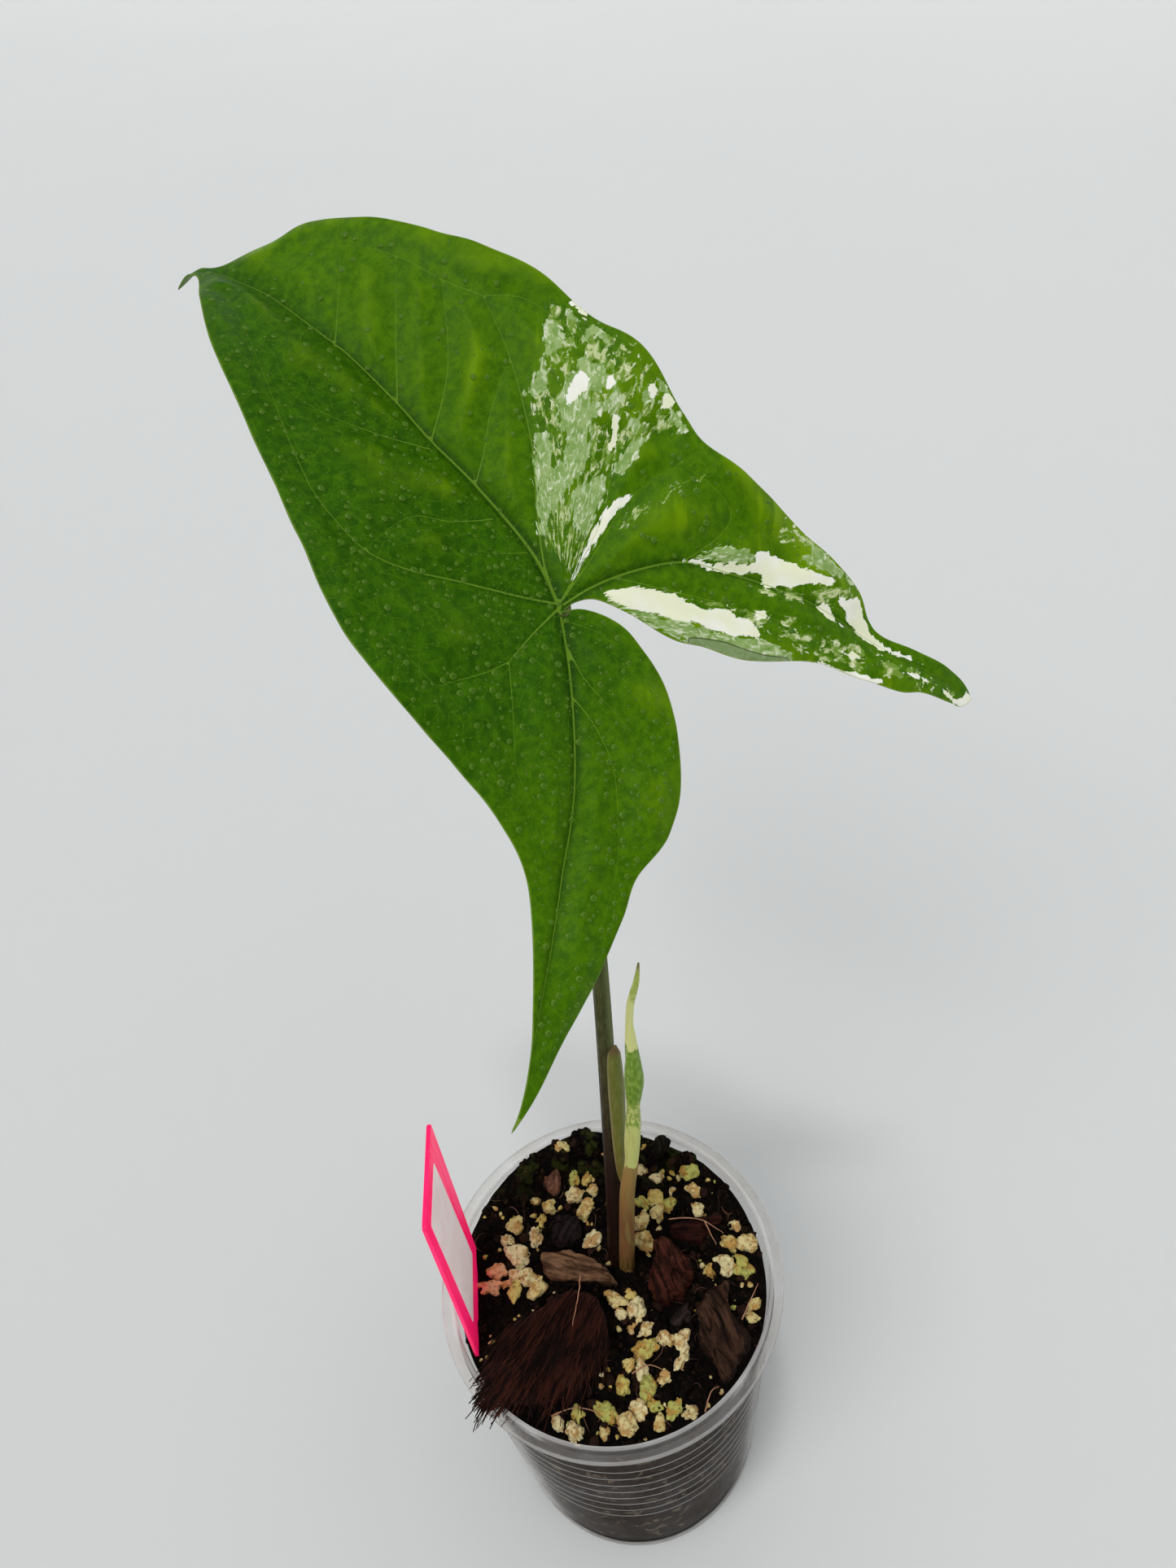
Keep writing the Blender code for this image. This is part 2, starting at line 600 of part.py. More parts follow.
def build_new_leaf(collection):
    """The new leaf, still rolled, on its own short stalk."""
    rows = smooth_points(NEW_LEAF_PATH, 4)
    path = [Vector(row[:3]) * MM for row in rows]
    radii = [row[3] * MM for row in rows]
    leaf = tube("new_leaf", path, radii, collection)
    leaf.data.materials.append(finish_of("new_leaf", "new_leaf"))
    return leaf


def shade_round(collection):
    for item in collection.objects:
        item.data.shade_smooth()
        item.data.set_sharp_from_angle(angle=math.radians(35))


def main():
    clear_scene()
    plant = new_collection(MODEL_NAME)
    cutters = new_collection("cutters")
    grains = new_collection("grains")
    parts = new_collection("joined_parts")
    build_cup(plant)
    build_chunks(plant, cutters)
    build_card(plant, cutters)
    stem_hole("stalk_hole", Vector(STALK_PATH[0]) * MM, STALK_FOOT_RADIUS + STEM_HOLE_PLAY, cutters)
    stem_hole("new_leaf_hole", Vector(NEW_LEAF_PATH[0][:3]) * MM, NEW_LEAF_FOOT_RADIUS + STEM_HOLE_PLAY, cutters)
    build_soil(plant, grains, cutters)
    build_blade(plant)
    build_stalk(plant, parts)
    build_new_leaf(plant)
    shade_round(plant)


main()
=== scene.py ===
"""Looks of the arrowhead plant: a fine mesh and a finish for every piece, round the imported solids.

Metres and +Z up, as in the frame. Outlines and paths are written in millimetres, and those of the
leaf lie on the flattened blade: right of the midrib, then along it from the stalk.
"""

import math
import random

import bmesh
import bpy
import numpy as np
from mathutils import Matrix, Vector, geometry, kdtree, noise


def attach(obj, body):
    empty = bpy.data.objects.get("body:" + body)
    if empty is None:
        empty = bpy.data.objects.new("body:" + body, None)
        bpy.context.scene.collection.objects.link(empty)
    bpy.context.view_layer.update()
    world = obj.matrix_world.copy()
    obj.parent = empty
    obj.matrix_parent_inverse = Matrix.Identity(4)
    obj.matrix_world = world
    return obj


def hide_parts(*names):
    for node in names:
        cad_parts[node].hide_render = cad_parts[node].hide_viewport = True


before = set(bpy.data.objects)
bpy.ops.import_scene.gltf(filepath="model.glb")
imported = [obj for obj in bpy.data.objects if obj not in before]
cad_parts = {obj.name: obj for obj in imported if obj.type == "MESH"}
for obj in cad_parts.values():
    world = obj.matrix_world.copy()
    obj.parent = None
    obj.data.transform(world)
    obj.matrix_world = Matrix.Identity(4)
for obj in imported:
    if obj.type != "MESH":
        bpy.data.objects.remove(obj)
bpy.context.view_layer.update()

MM = 0.001
CURVE_STEPS = 12
COARSE = 1.0

# Camera: the photograph's viewpoint, and its focal length in pixels of the tall side
PHOTO_TALL = 1927
FOCAL_PIXELS = 1336
CAMERA_PLACE = (0.0086, -0.1014, 0.3002)
CAMERA_RIGHT = (0.9913, -0.0872, -0.0990)
CAMERA_UP = (0.1319, 0.6551, 0.7439)
SENSOR_MM = 36.0

# Cup
CUP_HEIGHT = 0.079
CUP_TOP_RADIUS = 0.0331
CUP_BASE_RADIUS = 0.029
CUP_WALL = 0.0009
CUP_FLOOR = 0.0012
CUP_WALL_TOP = 0.0776
CUP_OUTSIDE_TOP = 0.0757
RIB_COUNT = 8
RIB_FIRST_DEPTH = 0.015
RIB_LAST_DEPTH = 0.0493
RIB_PITCH = (RIB_LAST_DEPTH - RIB_FIRST_DEPTH) / (RIB_COUNT - 1)
RIB_HEIGHT = 0.00003
RIB_HALF_WIDTH = 0.00022
RIB_REACH = 0.0007

# Sections of the rim, from its inner lip over the top, and of the foot: radius and height (mm)
RIM_SECTION = (
    (32.20, 78.5), (32.30, 78.9), (32.60, 79.0), (32.85, 78.85), (33.1, 78.72), (33.7, 78.62), (34.2, 78.5),
    (34.55, 78.45), (34.8, 78.3), (34.92, 78.0), (34.78, 77.75), (34.72, 77.6), (34.85, 77.42), (35.0, 77.15),
    (34.92, 76.85), (34.6, 76.7), (34.2, 76.72), (33.6, 76.8), (33.15, 76.7),
)
FOOT_SECTION = (
    (28.98, 0.9), (28.6, 0.3), (27.9, 0.0), (26.4, 0.0), (25.9, 0.25), (12.0, 0.25), (0.0, 0.25),
)

# Where the cup is hazier, as heights between which a haze comes in, and goes out again; on the moulding lines
# and the rim's ridges this haze is partly painted highlight, for the light that their curves catch
RIBBED_BAND = (0.0290, 0.0293, 0.0647, 0.0650)
RIM_BAND = (0.0771, 0.0773, 0.07830, 0.07845)
WALL_HAZE = (0.0758, 0.0768)
LIP_HAZE_AND_GLINT = (0.07868, 0.07882)

# Soil
SOIL_TOP = 0.0745
SOIL_EDGE_TOP = 0.0732
SOIL_BUMP = 0.0013
SOIL_BUMP_SIZE = 0.006
SOIL_GAP = 0.0003
SOIL_EDGE_START = 0.024
SOIL_EDGE_WIDTH = 0.007
SOIL_SIDE_TOP = 0.0722
SOIL_RADIUS = 0.031
SOIL_DENT = 0.0011
SOIL_PRESSED = (0.0726, 0.0712)
MOSSY_DEPTH = (0.016, 0.028)

# Lumps on its top: height, size and seed
SOIL_LUMPS = ((0.00045, 0.0017, 3.0), (0.00022, 0.0007, 8.0), (0.00010, 0.0003, 5.0))

# Height of the bank of soil along the wall (mm), by direction from the middle in degrees
BANK = ((-180, 1.2), (-120, 0.0), (0, 0.2), (20, 1.4), (45, 3.2), (62, 2.8), (80, 4.4), (97, 6.0), (122, 5.2),
        (150, 3.4), (170, 2.0), (180, 1.2))
BANK_START = 0.0235
BANK_END = 0.0300

# Clods on it: x, y, width and height of the top (mm)
CLODS = ((-2.6, 29.0, 3.2, 81.6), (-8.5, 28.0, 2.4, 80.6), (-15.5, 25.0, 2.2, 79.4), (-21.5, 20.0, 2.0, 78.2),
         (19.4, 23.0, 2.2, 78.4), (25.0, 15.0, 1.6, 76.4))
CLOD_LUMPS = 14
CLOD_LEVEL = 0.078
CLOD_DROP = 0.0015
CRUMB_SEED = 12
CRUMB_COUNT = 1100
CRUMB_REACH = 0.0314
CRUMB_SMALL = 0.0003
CRUMB_SPREAD = 0.0009

# Pumice: middle of each cluster (mm), number of grains and spread (mm)
PUMICE_CLUSTERS = (
    (-10, 28, 3, 3), (-5, 22, 5, 3.5), (-4, 15, 2, 2), (-14, 17, 3, 3), (-19, 11, 5, 5), (-3, 9, 3, 2.5),
    (11, 22, 2, 2.5), (19, 20, 1, 1), (10, 13, 5, 4), (18, 14, 2, 3), (8, 7, 1, 1), (27, 5, 3, 3),
    (25, -1, 2, 2), (20, -2, 2, 1.5), (27, -11, 3, 3), (3, -5, 4, 3.5), (5, -10, 2, 2), (4, -19, 6, 4.5),
    (12, -14, 4, 2.5), (12, -18, 2, 2), (-25, 2, 3, 4), (-18, 0, 4, 3), (-11, -25, 4, 4), (-2, -27, 3, 3),
    (6, -27, 4, 4), (11, -27, 2, 2),
)
PUMICE_SEED = 7
PUMICE_SMALL = 0.0013
PUMICE_LARGE = 0.0026
PUMICE_REACH = 0.0295
PUMICE_TRIES = 60
CARD_CLEARANCE = 0.0012
CHUNK_CLEARANCE = 0.0004
FOOT_CLEARANCE = 0.0008
GRAIN_SEED = 31
PUMICE_BITS = 150
BIT_REACH = 0.0305
BIT_SIZES = (0.0003, 0.0008)

# Leaf blade: where the stalk meets it, its midrib direction and its upper side
BLADE_JOINT = np.array((0.0082, 0.0404, 0.2116))
BLADE_ALONG = np.array(Vector((-0.573, 0.550, 0.608)).normalized())
BLADE_UP = np.array(Vector((0.241, -0.596, 0.766)).normalized())
BLADE_RIGHT = np.cross(BLADE_ALONG, BLADE_UP)
BLADE_RIGHT = BLADE_RIGHT / np.linalg.norm(BLADE_RIGHT)
BLADE_SPACING = 0.46 * COARSE
BLADE_THICKNESS = 0.00042
MARGIN_THICKNESS = 0.00026
MIDRIB_BOW = 0.0030
MIDRIB_LENGTH = 0.080
FOLD_SLOPE = 0.36
FOLD_ROUND = 0.003
FOLD_START = -0.005
FOLD_BLEND = 0.008
ARCH = 0.8
LOBE_DROOP = 3.0
BEND_START = 0.050
BEND_RADIUS = 0.048
CURL_START = 0.0845
CURL_RADIUS = 0.005
WAVE_HEIGHT = 0.0007
WAVE_LENGTH = 0.023
WAVE_REACH = 0.03
QUILT_HEIGHT = 0.0012
QUILT_REACH = 3.6
RIPPLE_HEIGHT = 0.0005
WRINKLE_HEIGHT = 0.00007
CURLED_SINK = 0.0003

# Outline of the flattened blade, in four runs
LEFT_LOBE_INNER = (
    (-0.6, -0.7), (2.2, -2.4), (4.5, -6.5), (5.2, -11.6), (3.7, -20.5), (-3.2, -31.1), (-10.5, -36.5),
    (-18.9, -37.9), (-24.9, -41.0), (-33.6, -44.8), (-43.1, -48.3), (-52.3, -51.6), (-57.0, -52.6),
)
LEFT_MARGIN = (
    (-53.1, -50.6), (-46.9, -45.2), (-40.4, -38.0), (-34.6, -31.2), (-31.1, -25.4), (-29.6, -17.4),
    (-29.5, -7.6), (-30.3, 7.3), (-29.1, 16.8), (-25.5, 28.6), (-21.9, 39.1), (-17.9, 50.7),
    (-13.6, 62.2), (-8.0, 73.5), (-3.6, 82.0), (-3.9, 86.2), (-5.6, 89.4),
)
RIGHT_MARGIN = (
    (-1.9, 87.0), (0.0, 82.0), (3.4, 79.6), (7.4, 77.2), (12.1, 74.9), (14.9, 72.2), (18.4, 67.1),
    (22.7, 59.4), (27.4, 50.3), (31.4, 39.5), (32.8, 29.6), (34.8, 21.0), (33.6, 9.9), (33.4, 2.6),
    (38.3, -10.1), (40.7, -19.5), (42.4, -28.6), (41.2, -34.0), (42.0, -37.9), (46.6, -45.6),
    (50.3, -52.8), (50.7, -57.0),
)
RIGHT_LOBE_INNER = (
    (47.9, -56.5), (45.9, -54.2), (41.4, -49.2), (37.5, -46.0), (31.4, -37.4), (27.3, -32.3),
    (20.3, -27.1), (16.8, -23.8), (13.5, -18.9), (10.2, -15.0), (7.3, -7.7), (4.9, -2.6), (2.0, -0.7),
)

# Veins: half width at the start and at the end (mm), depth of the groove (mm), then the points
VEINS = (
    (0.30, 0.10, 0.45, ((-0.1, 0.2), (2.6, 9.4), (3.3, 22.8), (2.9, 32.4), (3.0, 40.0), (2.5, 50.1),
                        (1.3, 58.8), (0.6, 68.2), (-0.4, 74.7), (-1.3, 81.8), (-4.4, 88.0))),
    (0.24, 0.10, 0.28, ((0.0, 0.4), (2.8, 7.0), (8.0, 14.5), (13.5, 21.9), (19.8, 34.0), (22.8, 43.6))),
    (0.26, 0.12, 0.28, ((-0.2, 1.0), (-5.4, 6.8), (-10.2, 12.1), (-15.4, 17.6), (-18.7, 23.2), (-19.1, 29.8),
                        (-18.5, 34.8))),
    (0.26, 0.08, 0.45, ((-0.4, 0.2), (-3.8, -5.4), (-10.0, -13.4), (-16.1, -20.4), (-21.1, -25.2),
                        (-26.5, -29.4), (-32.9, -34.6), (-44.0, -43.2), (-55.1, -52.0))),
    (0.26, 0.08, 0.40, ((0.5, 0.1), (5.5, -0.7), (11.6, -2.9), (19.2, -7.1), (24.6, -12.9), (29.5, -19.2),
                        (36.9, -31.6), (43.2, -44.4), (49.6, -55.5))),
    (0.26, 0.12, 0.25, ((-0.6, 0.1), (-6.5, -0.5), (-12.8, -1.6))),
    (0.15, 0.08, 0.14, ((-12.8, -1.6), (-17.1, -0.7), (-21.8, 1.0), (-24.3, 2.2), (-24.9, 8.3),
                        (-26.2, 12.9))),
    (0.15, 0.07, 0.14, ((-12.8, -1.6), (-17.5, -7.6), (-21.9, -12.9), (-23.5, -16.1), (-25.4, -22.0))),
    (0.15, 0.07, 0.14, ((1.8, 53.2), (7.5, 59.1), (13.1, 65.1))),
    (0.17, 0.08, 0.16, ((3.2, 40.6), (10.1, 48.9), (17.4, 57.2))),
    (0.17, 0.08, 0.16, ((3.3, 32.8), (12.1, 39.3), (20.0, 49.6))),
    (0.17, 0.08, 0.16, ((3.5, 23.1), (8.0, 26.2), (12.4, 29.8), (19.8, 34.0))),
    (0.13, 0.08, 0.10, ((22.8, 43.6), (20.1, 49.6), (18.1, 56.5), (15.6, 62.1), (12.0, 67.2), (8.1, 71.2))),
    (0.13, 0.08, 0.10, ((22.8, 43.6), (26.9, 39.3), (28.9, 33.1), (30.0, 24.0))),
    (0.17, 0.08, 0.16, ((1.8, 31.5), (-3.6, 37.6), (-8.1, 44.0), (-11.1, 51.5))),
    (0.17, 0.08, 0.16, ((1.6, 17.1), (-4.2, 20.2), (-9.5, 24.0), (-18.7, 23.2))),
    (0.13, 0.07, 0.12, ((2.0, 9.8), (-2.2, 12.6), (-6.0, 15.8))),
    (0.14, 0.07, 0.12, ((-18.5, 34.8), (-15.6, 43.0), (-11.9, 52.0), (-7.9, 62.0), (-4.5, 72.0))),
    (0.16, 0.07, 0.16, ((-3.4, -4.9), (-5.1, -10.8), (-4.9, -17.4), (-4.9, -25.4))),
    (0.16, 0.07, 0.16, ((-8.4, -11.4), (-8.9, -17.2), (-10.9, -23.5), (-15.6, -29.8), (-20.4, -34.8),
                        (-27.6, -39.4))),
    (0.13, 0.07, 0.10, ((-1.2, -1.9), (1.5, -6.4), (2.4, -12.0))),
    (0.15, 0.08, 0.14, ((19.2, -7.1), (26.9, -7.8), (30.4, -6.1), (29.5, 0.0), (28.4, 3.8), (29.6, 9.0))),
    (0.16, 0.07, 0.15, ((0.9, 0.9), (7.0, 3.2), (14.0, 6.3), (22.0, 12.5))),
    (0.16, 0.07, 0.15, ((1.2, 0.8), (9.0, 2.7), (19.5, 5.5), (32.0, 3.7))),
    (0.14, 0.07, 0.12, ((9.4, -2.3), (14.0, -8.2), (20.2, -15.6), (27.0, -24.6), (35.5, -38.0))),
)

# Markings of the blade's right half: pale green, cream, and islands left green within them
SAGE_PATCHES = (
    ((27.4, 34.4), (27.9, 30.6), (25.4, 29.2), (22.9, 28.9), (20.3, 26.3), (17.6, 27.7), (20.3, 28.8),
     (24.2, 31.0)),
    ((28.0, 29.6), (27.6, 25.4), (28.5, 23.5), (27.8, 18.6), (25.4, 16.5), (22.2, 17.7), (17.8, 13.8),
     (13.3, 12.6),
     (8.9, 11.8), (6.0, 10.3), (5.4, 11.2), (8.1, 14.6), (14.6, 22.5), (17.1, 19.6), (20.1, 23.5),
     (26.3, 26.0)),
    ((18.6, 10.6), (14.6, 7.7), (10.6, 5.9), (9.8, 8.0), (12.9, 11.7), (16.8, 11.5)),
    ((31.7, 28.9), (32.2, 27.3), (31.0, 24.2), (30.9, 28.1), (28.4, 27.3), (30.2, 29.1)),
    ((30.7, 33.6), (31.0, 30.8), (30.2, 32.0)),
    ((33.5, 16.3), (33.9, 14.3), (33.2, 12.3), (32.6, 14.5)),
    ((32.0, 11.5), (33.1, 10.2), (32.3, 7.4), (31.2, 9.0)),
    ((29.3, 15.6), (31.4, 15.9), (31.2, 13.9), (29.7, 14.4)),
    ((25.5, 13.8), (27.9, 14.0), (26.7, 12.2)),
    ((20.6, 10.8), (23.8, 11.6), (26.1, 10.5), (22.0, 9.1), (19.9, 9.5)),
    ((21.6, -8.0), (24.4, -8.8), (27.1, -10.3), (29.9, -12.9), (28.8, -14.4), (26.0, -12.3), (23.2, -10.1)),
    ((38.9, -18.1), (40.5, -19.7), (41.2, -22.3), (41.3, -25.9), (37.5, -22.3), (35.7, -18.9), (38.0, -19.9)),
    ((41.0, -25.4), (42.3, -27.0), (42.6, -29.4), (41.0, -26.9)),
    ((6.0, -4.0), (8.6, -8.0), (12.6, -13.4), (16.5, -18.6), (20.3, -22.8), (24.5, -28.6), (23.4, -29.6),
     (17.0, -23.6), (10.6, -15.2), (7.6, -8.2)),
)
CREAM_PATCHES = (
    ((19.5, -6.9), (23.2, -10.0), (28.7, -14.3), (29.9, -13.0), (32.2, -14.9), (35.7, -21.0), (38.3, -24.3),
     (37.1, -24.6), (33.9, -22.3), (30.4, -19.9), (28.1, -18.2), (29.0, -16.5), (25.9, -13.8), (22.7, -11.4)),
    ((6.1, -3.2), (8.3, -3.7), (11.4, -5.9), (14.8, -9.8), (17.0, -14.0), (20.3, -17.4), (22.0, -20.9),
     (21.8, -23.5), (18.0, -20.7), (14.6, -16.1), (11.0, -11.3), (8.1, -7.4)),
    ((37.4, -27.3), (39.4, -29.0), (41.4, -29.6), (40.3, -34.0), (41.1, -38.8), (44.8, -45.9), (40.7, -40.0),
     (37.7, -33.5), (37.7, -29.7)),
    ((33.8, -26.4), (35.7, -27.5), (35.8, -30.4), (38.1, -34.1), (34.7, -29.3)),
    ((23.7, -20.3), (25.1, -20.9), (25.4, -22.2), (24.0, -21.7)),
    ((24.6, 24.6), (25.9, 23.8), (24.9, 22.2), (20.3, 21.8), (22.2, 23.6)),
    ((27.9, 21.5), (28.0, 19.5), (26.3, 19.6)),
    ((24.4, 16.2), (25.3, 15.6), (23.1, 13.4), (21.1, 12.5), (22.6, 14.4)),
    ((31.7, 16.3), (32.5, 15.8), (32.3, 14.7), (30.8, 14.6)),
    ((32.5, 13.6), (33.6, 13.1), (33.4, 11.6), (31.1, 12.0)),
    ((31.8, 35.1), (32.4, 33.5), (32.8, 30.7), (31.7, 31.2)),
    ((19.5, 5.5), (15.4, 5.1), (9.7, 3.8), (3.9, 2.0), (8.6, 4.3), (14.9, 6.7), (17.9, 6.5)),
    ((33.3, -34.6), (35.1, -36.2), (36.8, -38.8), (34.0, -36.2)),
    ((39.9, -43.6), (41.9, -45.8), (43.5, -48.6), (40.1, -44.8)),
    ((45.1, -49.7), (46.1, -52.0), (46.7, -54.8), (45.0, -51.0)),
    ((46.2, -54.5), (50.7, -55.6), (50.6, -57.4), (48.0, -57.2)),
    ((26.0, -30.9), (32.2, -37.8), (36.4, -43.6), (33.0, -40.6), (28.4, -34.4)),
)
GREEN_ISLANDS = (
    ((16.7, 20.6), (17.9, 19.0), (16.1, 17.6), (13.5, 16.5), (14.9, 19.2)),
    ((24.2, 21.2), (26.9, 18.9), (25.7, 18.6), (23.9, 19.6)),
)
CURLED_MARGIN = (
    ((12.0, -16.4), (15.7, -19.8), (18.1, -23.2), (20.7, -26.4), (24.0, -29.6), (20.6, -30.0), (15.6, -25.8),
     (12.0, -20.0)),
)
FLECKED_AREAS = (
    ((29.4, 36.6), (32.7, 29.6), (34.6, 20.0), (33.8, 12.8), (32.6, 7.1), (26.0, 10.0), (19.5, 9.0),
     (8.8, 3.4), (4.1, 2.3), (4.4, 7.1), (5.5, 11.1), (17.4, 27.4), (26.2, 33.3)),
    ((15.7, 4.7), (28.8, 1.9), (33.8, -0.8), (27.0, 0.4), (15.2, 2.2)),
    ((26.5, -16.0), (33.9, -22.0), (39.6, -25.4), (41.4, -30.0), (37.2, -30.6), (32.1, -25.3), (27.0, -20.0)),
    ((38.1, -11.4), (40.6, -15.1), (41.4, -21.3), (38.4, -19.5), (34.0, -14.2)),
    ((8.8, -3.8), (14.4, -8.0), (19.8, -14.3), (26.0, -20.7), (33.0, -31.0), (40.0, -39.6), (48.0, -52.7),
     (50.6, -57.2), (44.7, -52.6), (34.4, -40.9), (24.8, -29.5), (23.0, -23.9), (20.1, -17.7), (14.3, -9.7)),
)

# Droplets on the open leaf
DROPLET_COUNT = 1500
DROPLET_SEED = 21
DROPLET_SMALL = 0.00013
DROPLET_LARGE = 0.00060

# Stalk and sheath of the open leaf
STALK_PATH = (
    (1.7, 4.4, 64), (1.7, 4.4, 68), (1.75, 4.5, 74), (2.4, 6.7, 83.5), (4.0, 12.8, 107), (6.1, 21.8, 142),
    (7.5, 31.2, 177), (8.3, 37.7, 201), (8.0, 40.7, 209.4), (8.15, 40.5, 211.2),
)
STALK_FOOT_RADIUS = 0.0019
STALK_TOP_RADIUS = 0.00125

# Sheath on the stalk: points along it with its half width there
SHEATH_PATH = (
    (4.9, 8.4, 96.5, 0.2), (4.9, 9.1, 100.0, 0.74), (5.2, 10.5, 105.6, 1.14), (5.6, 11.9, 110.9, 1.38),
    (6.0, 13.3, 116.1, 1.53), (6.3, 14.7, 121.1, 1.61), (6.6, 16.3, 127.1, 1.45), (7.1, 17.3, 131.0, 0.9),
)
SHEATH_THICKNESS = 0.00032

# Rolled new leaf: points along it with its radius there
NEW_LEAF_PATH = (
    (3.4, 2.2, 64, 1.6), (3.4, 2.2, 74, 1.62), (4.3, 2.5, 86, 1.57), (5.1, 2.8, 96, 1.52),
    (5.8, 3.0, 104, 1.45),
    (6.7, 3.1, 110, 1.36), (7.5, 3.2, 114.8, 1.36), (8.1, 3.5, 120.7, 1.55), (8.8, 4.1, 127, 1.45),
    (9.1, 4.4, 131, 1.26), (9.5, 4.7, 134.6, 1.5), (9.85, 4.95, 138, 1.72), (9.9, 5.2, 141.5, 1.55),
    (9.9, 5.5, 146, 1.25), (10.0, 5.8, 150.4, 0.9), (10.1, 5.9, 153, 0.7), (10.7, 6.3, 157.6, 0.66),
    (12.0, 6.7, 162.3, 0.52), (12.7, 7.0, 166.4, 0.17),
)
ROLL_START = 0.112
ROLL_EASE = 0.004

# Heights between which each colour of the stalks, card and bark comes in
STALK_OLIVE = (0.095, 0.135)
STALK_GREEN = (0.125, 0.17)
SHEATH_OLIVE = (0.098, 0.112)
SHEATH_TIP = (0.1285, 0.1303)
ROLL_FOOT = (0.0765, 0.084)
ROLL_TAN = (0.092, 0.112)
ROLL_PALE = (0.1145, 0.1150)
ROLL_MARBLED = (0.1255, 0.1265)
ROLL_GREEN = (0.1325, 0.1335, 0.1475, 0.1485)
ROLL_CREAM = (0.1475, 0.1485)
ROLL_FLECKED = (0.156, 0.159)
ROLL_TIP = (0.1635, 0.1665)
CARD_DARKENING = (0.088, 0.074)
BARK_DARKENING = (0.0763, 0.0746)

# Places on the soil that the two stalks keep clear of grains: x, y and radius (mm)
FEET = ((0.9, 4.2, 1.9), (4.0, 1.2, 1.75))

# Card
CARD_X = -0.0284
CARD_THICKNESS = 0.0008
CARD_OUTLINE = ((-11.5, 127.5), (9.5, 126.0), (9.8, 73.5), (3.5, 56.5), (-5.0, 56.5), (-11.5, 73.5))
LABEL_OUTLINE = ((-9.0, 123.6), (3.4, 122.8), (5.8, 81.6), (-7.8, 81.0))
LABEL_THICKNESS = 0.00008
LABEL_SUNK = 0.00004

# Bark and coir: outline, height of the top, roundness of the edge, and direction of the grain in degrees
CHUNKS = {
    "coir_chunk": (((-15.3, -5.6), (-7.7, -2.6), (-2.9, -5.1), (-1.6, -10.9), (-2.0, -15.1), (-6.6, -19.8),
                    (-12.8, -22.4), (-22.0, -21.2), (-25.4, -17.4), (-24.6, -12.8),
                    (-21.2, -8.2)), 79.4, 1.3, 205),
    "bark_long": (((-14.7, 6.7), (-9.0, 6.1), (-4.4, 4.6), (-1.9, 2.4), (1.2, -1.6), (-1.2, -1.4),
                   (-7.6, 0.2), (-12.6, 1.5), (-14.3, 4.1)), 77.2, 0.6, -22),
    "bark_nugget": (((10.8, 5.4), (13.8, 4.0), (16.3, -1.2), (15.0, -4.9), (10.3, -7.0), (7.4, -4.9),
                     (7.9, -1.4), (9.3, 2.1)), 80.0, 2.0, 105),
    "bark_slab": (((19.8, -5.0), (23.0, -5.0), (23.1, -9.3), (25.7, -14.6), (24.3, -17.6), (19.6, -22.6),
                   (18.1, -19.6), (16.2, -14.7), (16.6, -10.2), (18.8, -7.0)), 77.8, 0.7, -72),
    "bark_small": (((12.1, -8.6), (15.0, -7.0), (15.0, -9.2), (14.2, -10.8), (11.4, -10.6)), 76.8, 0.5, 40),
    "bark_back": (((13.4, 8.6), (18.0, 9.4), (24.5, 8.7), (21.7, 6.3), (18.1, 4.6),
                   (13.8, 6.2)), 77.0, 0.6, -10),
    "bark_left": (((-11.9, 13.4), (-8.4, 14.4), (-5.6, 11.8), (-6.4, 8.6), (-9.9, 8.2),
                   (-12.3, 10.3)), 77.6, 1.2, 60),
    "bark_flake": (((-11.5, 27.2), (-9.8, 26.0), (-9.5, 21.2), (-10.8, 20.0), (-12.3, 22.1), (-12.5, 25.3)),
                   77.0, 0.7, 95),
    "bark_stub": (((12.5, 26.3), (14.6, 27.0), (15.8, 25.8), (14.6, 23.4), (12.4, 23.4)), 81.0, 0.8, 80),
}
CHUNK_BOTTOM = 0.0720
BARK_COLOURS = {
    "bark_long": ((62, 42, 28), (128, 96, 70)),
    "bark_nugget": ((22, 6, 3), (74, 34, 22)),
    "bark_slab": ((24, 14, 9), (72, 48, 34)),
    "bark_small": ((24, 17, 16), (58, 45, 42)),
    "bark_back": ((16, 4, 2), (56, 20, 12)),
    "bark_left": ((10, 6, 6), (40, 29, 28)),
    "bark_flake": ((70, 44, 34), (130, 90, 70)),
    "bark_stub": ((8, 6, 3), (32, 28, 12)),
}

# Coir: the number of fibres and of loose ones, where each starts (mm), and the point that they fan from
COIR_SEED = 5
COIR_FIBRES = 520
COIR_SPAN = ((-25.5, -1.5), (-22.4, -2.6))
BRISTLES = 460
BRISTLE_SPAN = ((-25.4, -19.0), (-21.4, -15.0))
FAN_FOCUS = (4.0, 12.0)

# Roots on the husk and bark: points along each (mm); and fine hairs on the soil
ROOTS = (
    ((-6.2, -0.6, 79.3), (-6.6, -3.6, 79.9), (-7.5, -7.0, 80.0), (-8.4, -10.4, 79.9)),
    ((13.4, 9.8, 77.2), (17.0, 9.4, 77.6), (20.6, 8.3, 77.6), (24.4, 5.6, 76.4)),
    ((20.6, 8.3, 77.6), (21.4, 6.2, 77.5), (22.4, 3.4, 76.3)),
    ((-14.2, -24.6, 75.5), (-10.0, -24.2, 76.9), (-6.6, -24.8, 76.7), (-4.6, -25.8, 75.6)),
    ((2.0, -19.4, 76.6), (5.4, -18.6, 77.4), (8.0, -19.4, 76.2)),
    ((24.8, -12.2, 76.6), (27.6, -8.4, 77.4), (29.4, -5.4, 76.0)),
    ((14.8, -27.4, 75.6), (16.6, -24.2, 76.2), (18.2, -23.4, 75.6)),
)
HAIR_SEED = 44
HAIR_COUNT = 90
HAIR_REACH = 0.030
HAIR_LIMIT = 0.0308
HAIR_LENGTHS = (0.0015, 0.0045)

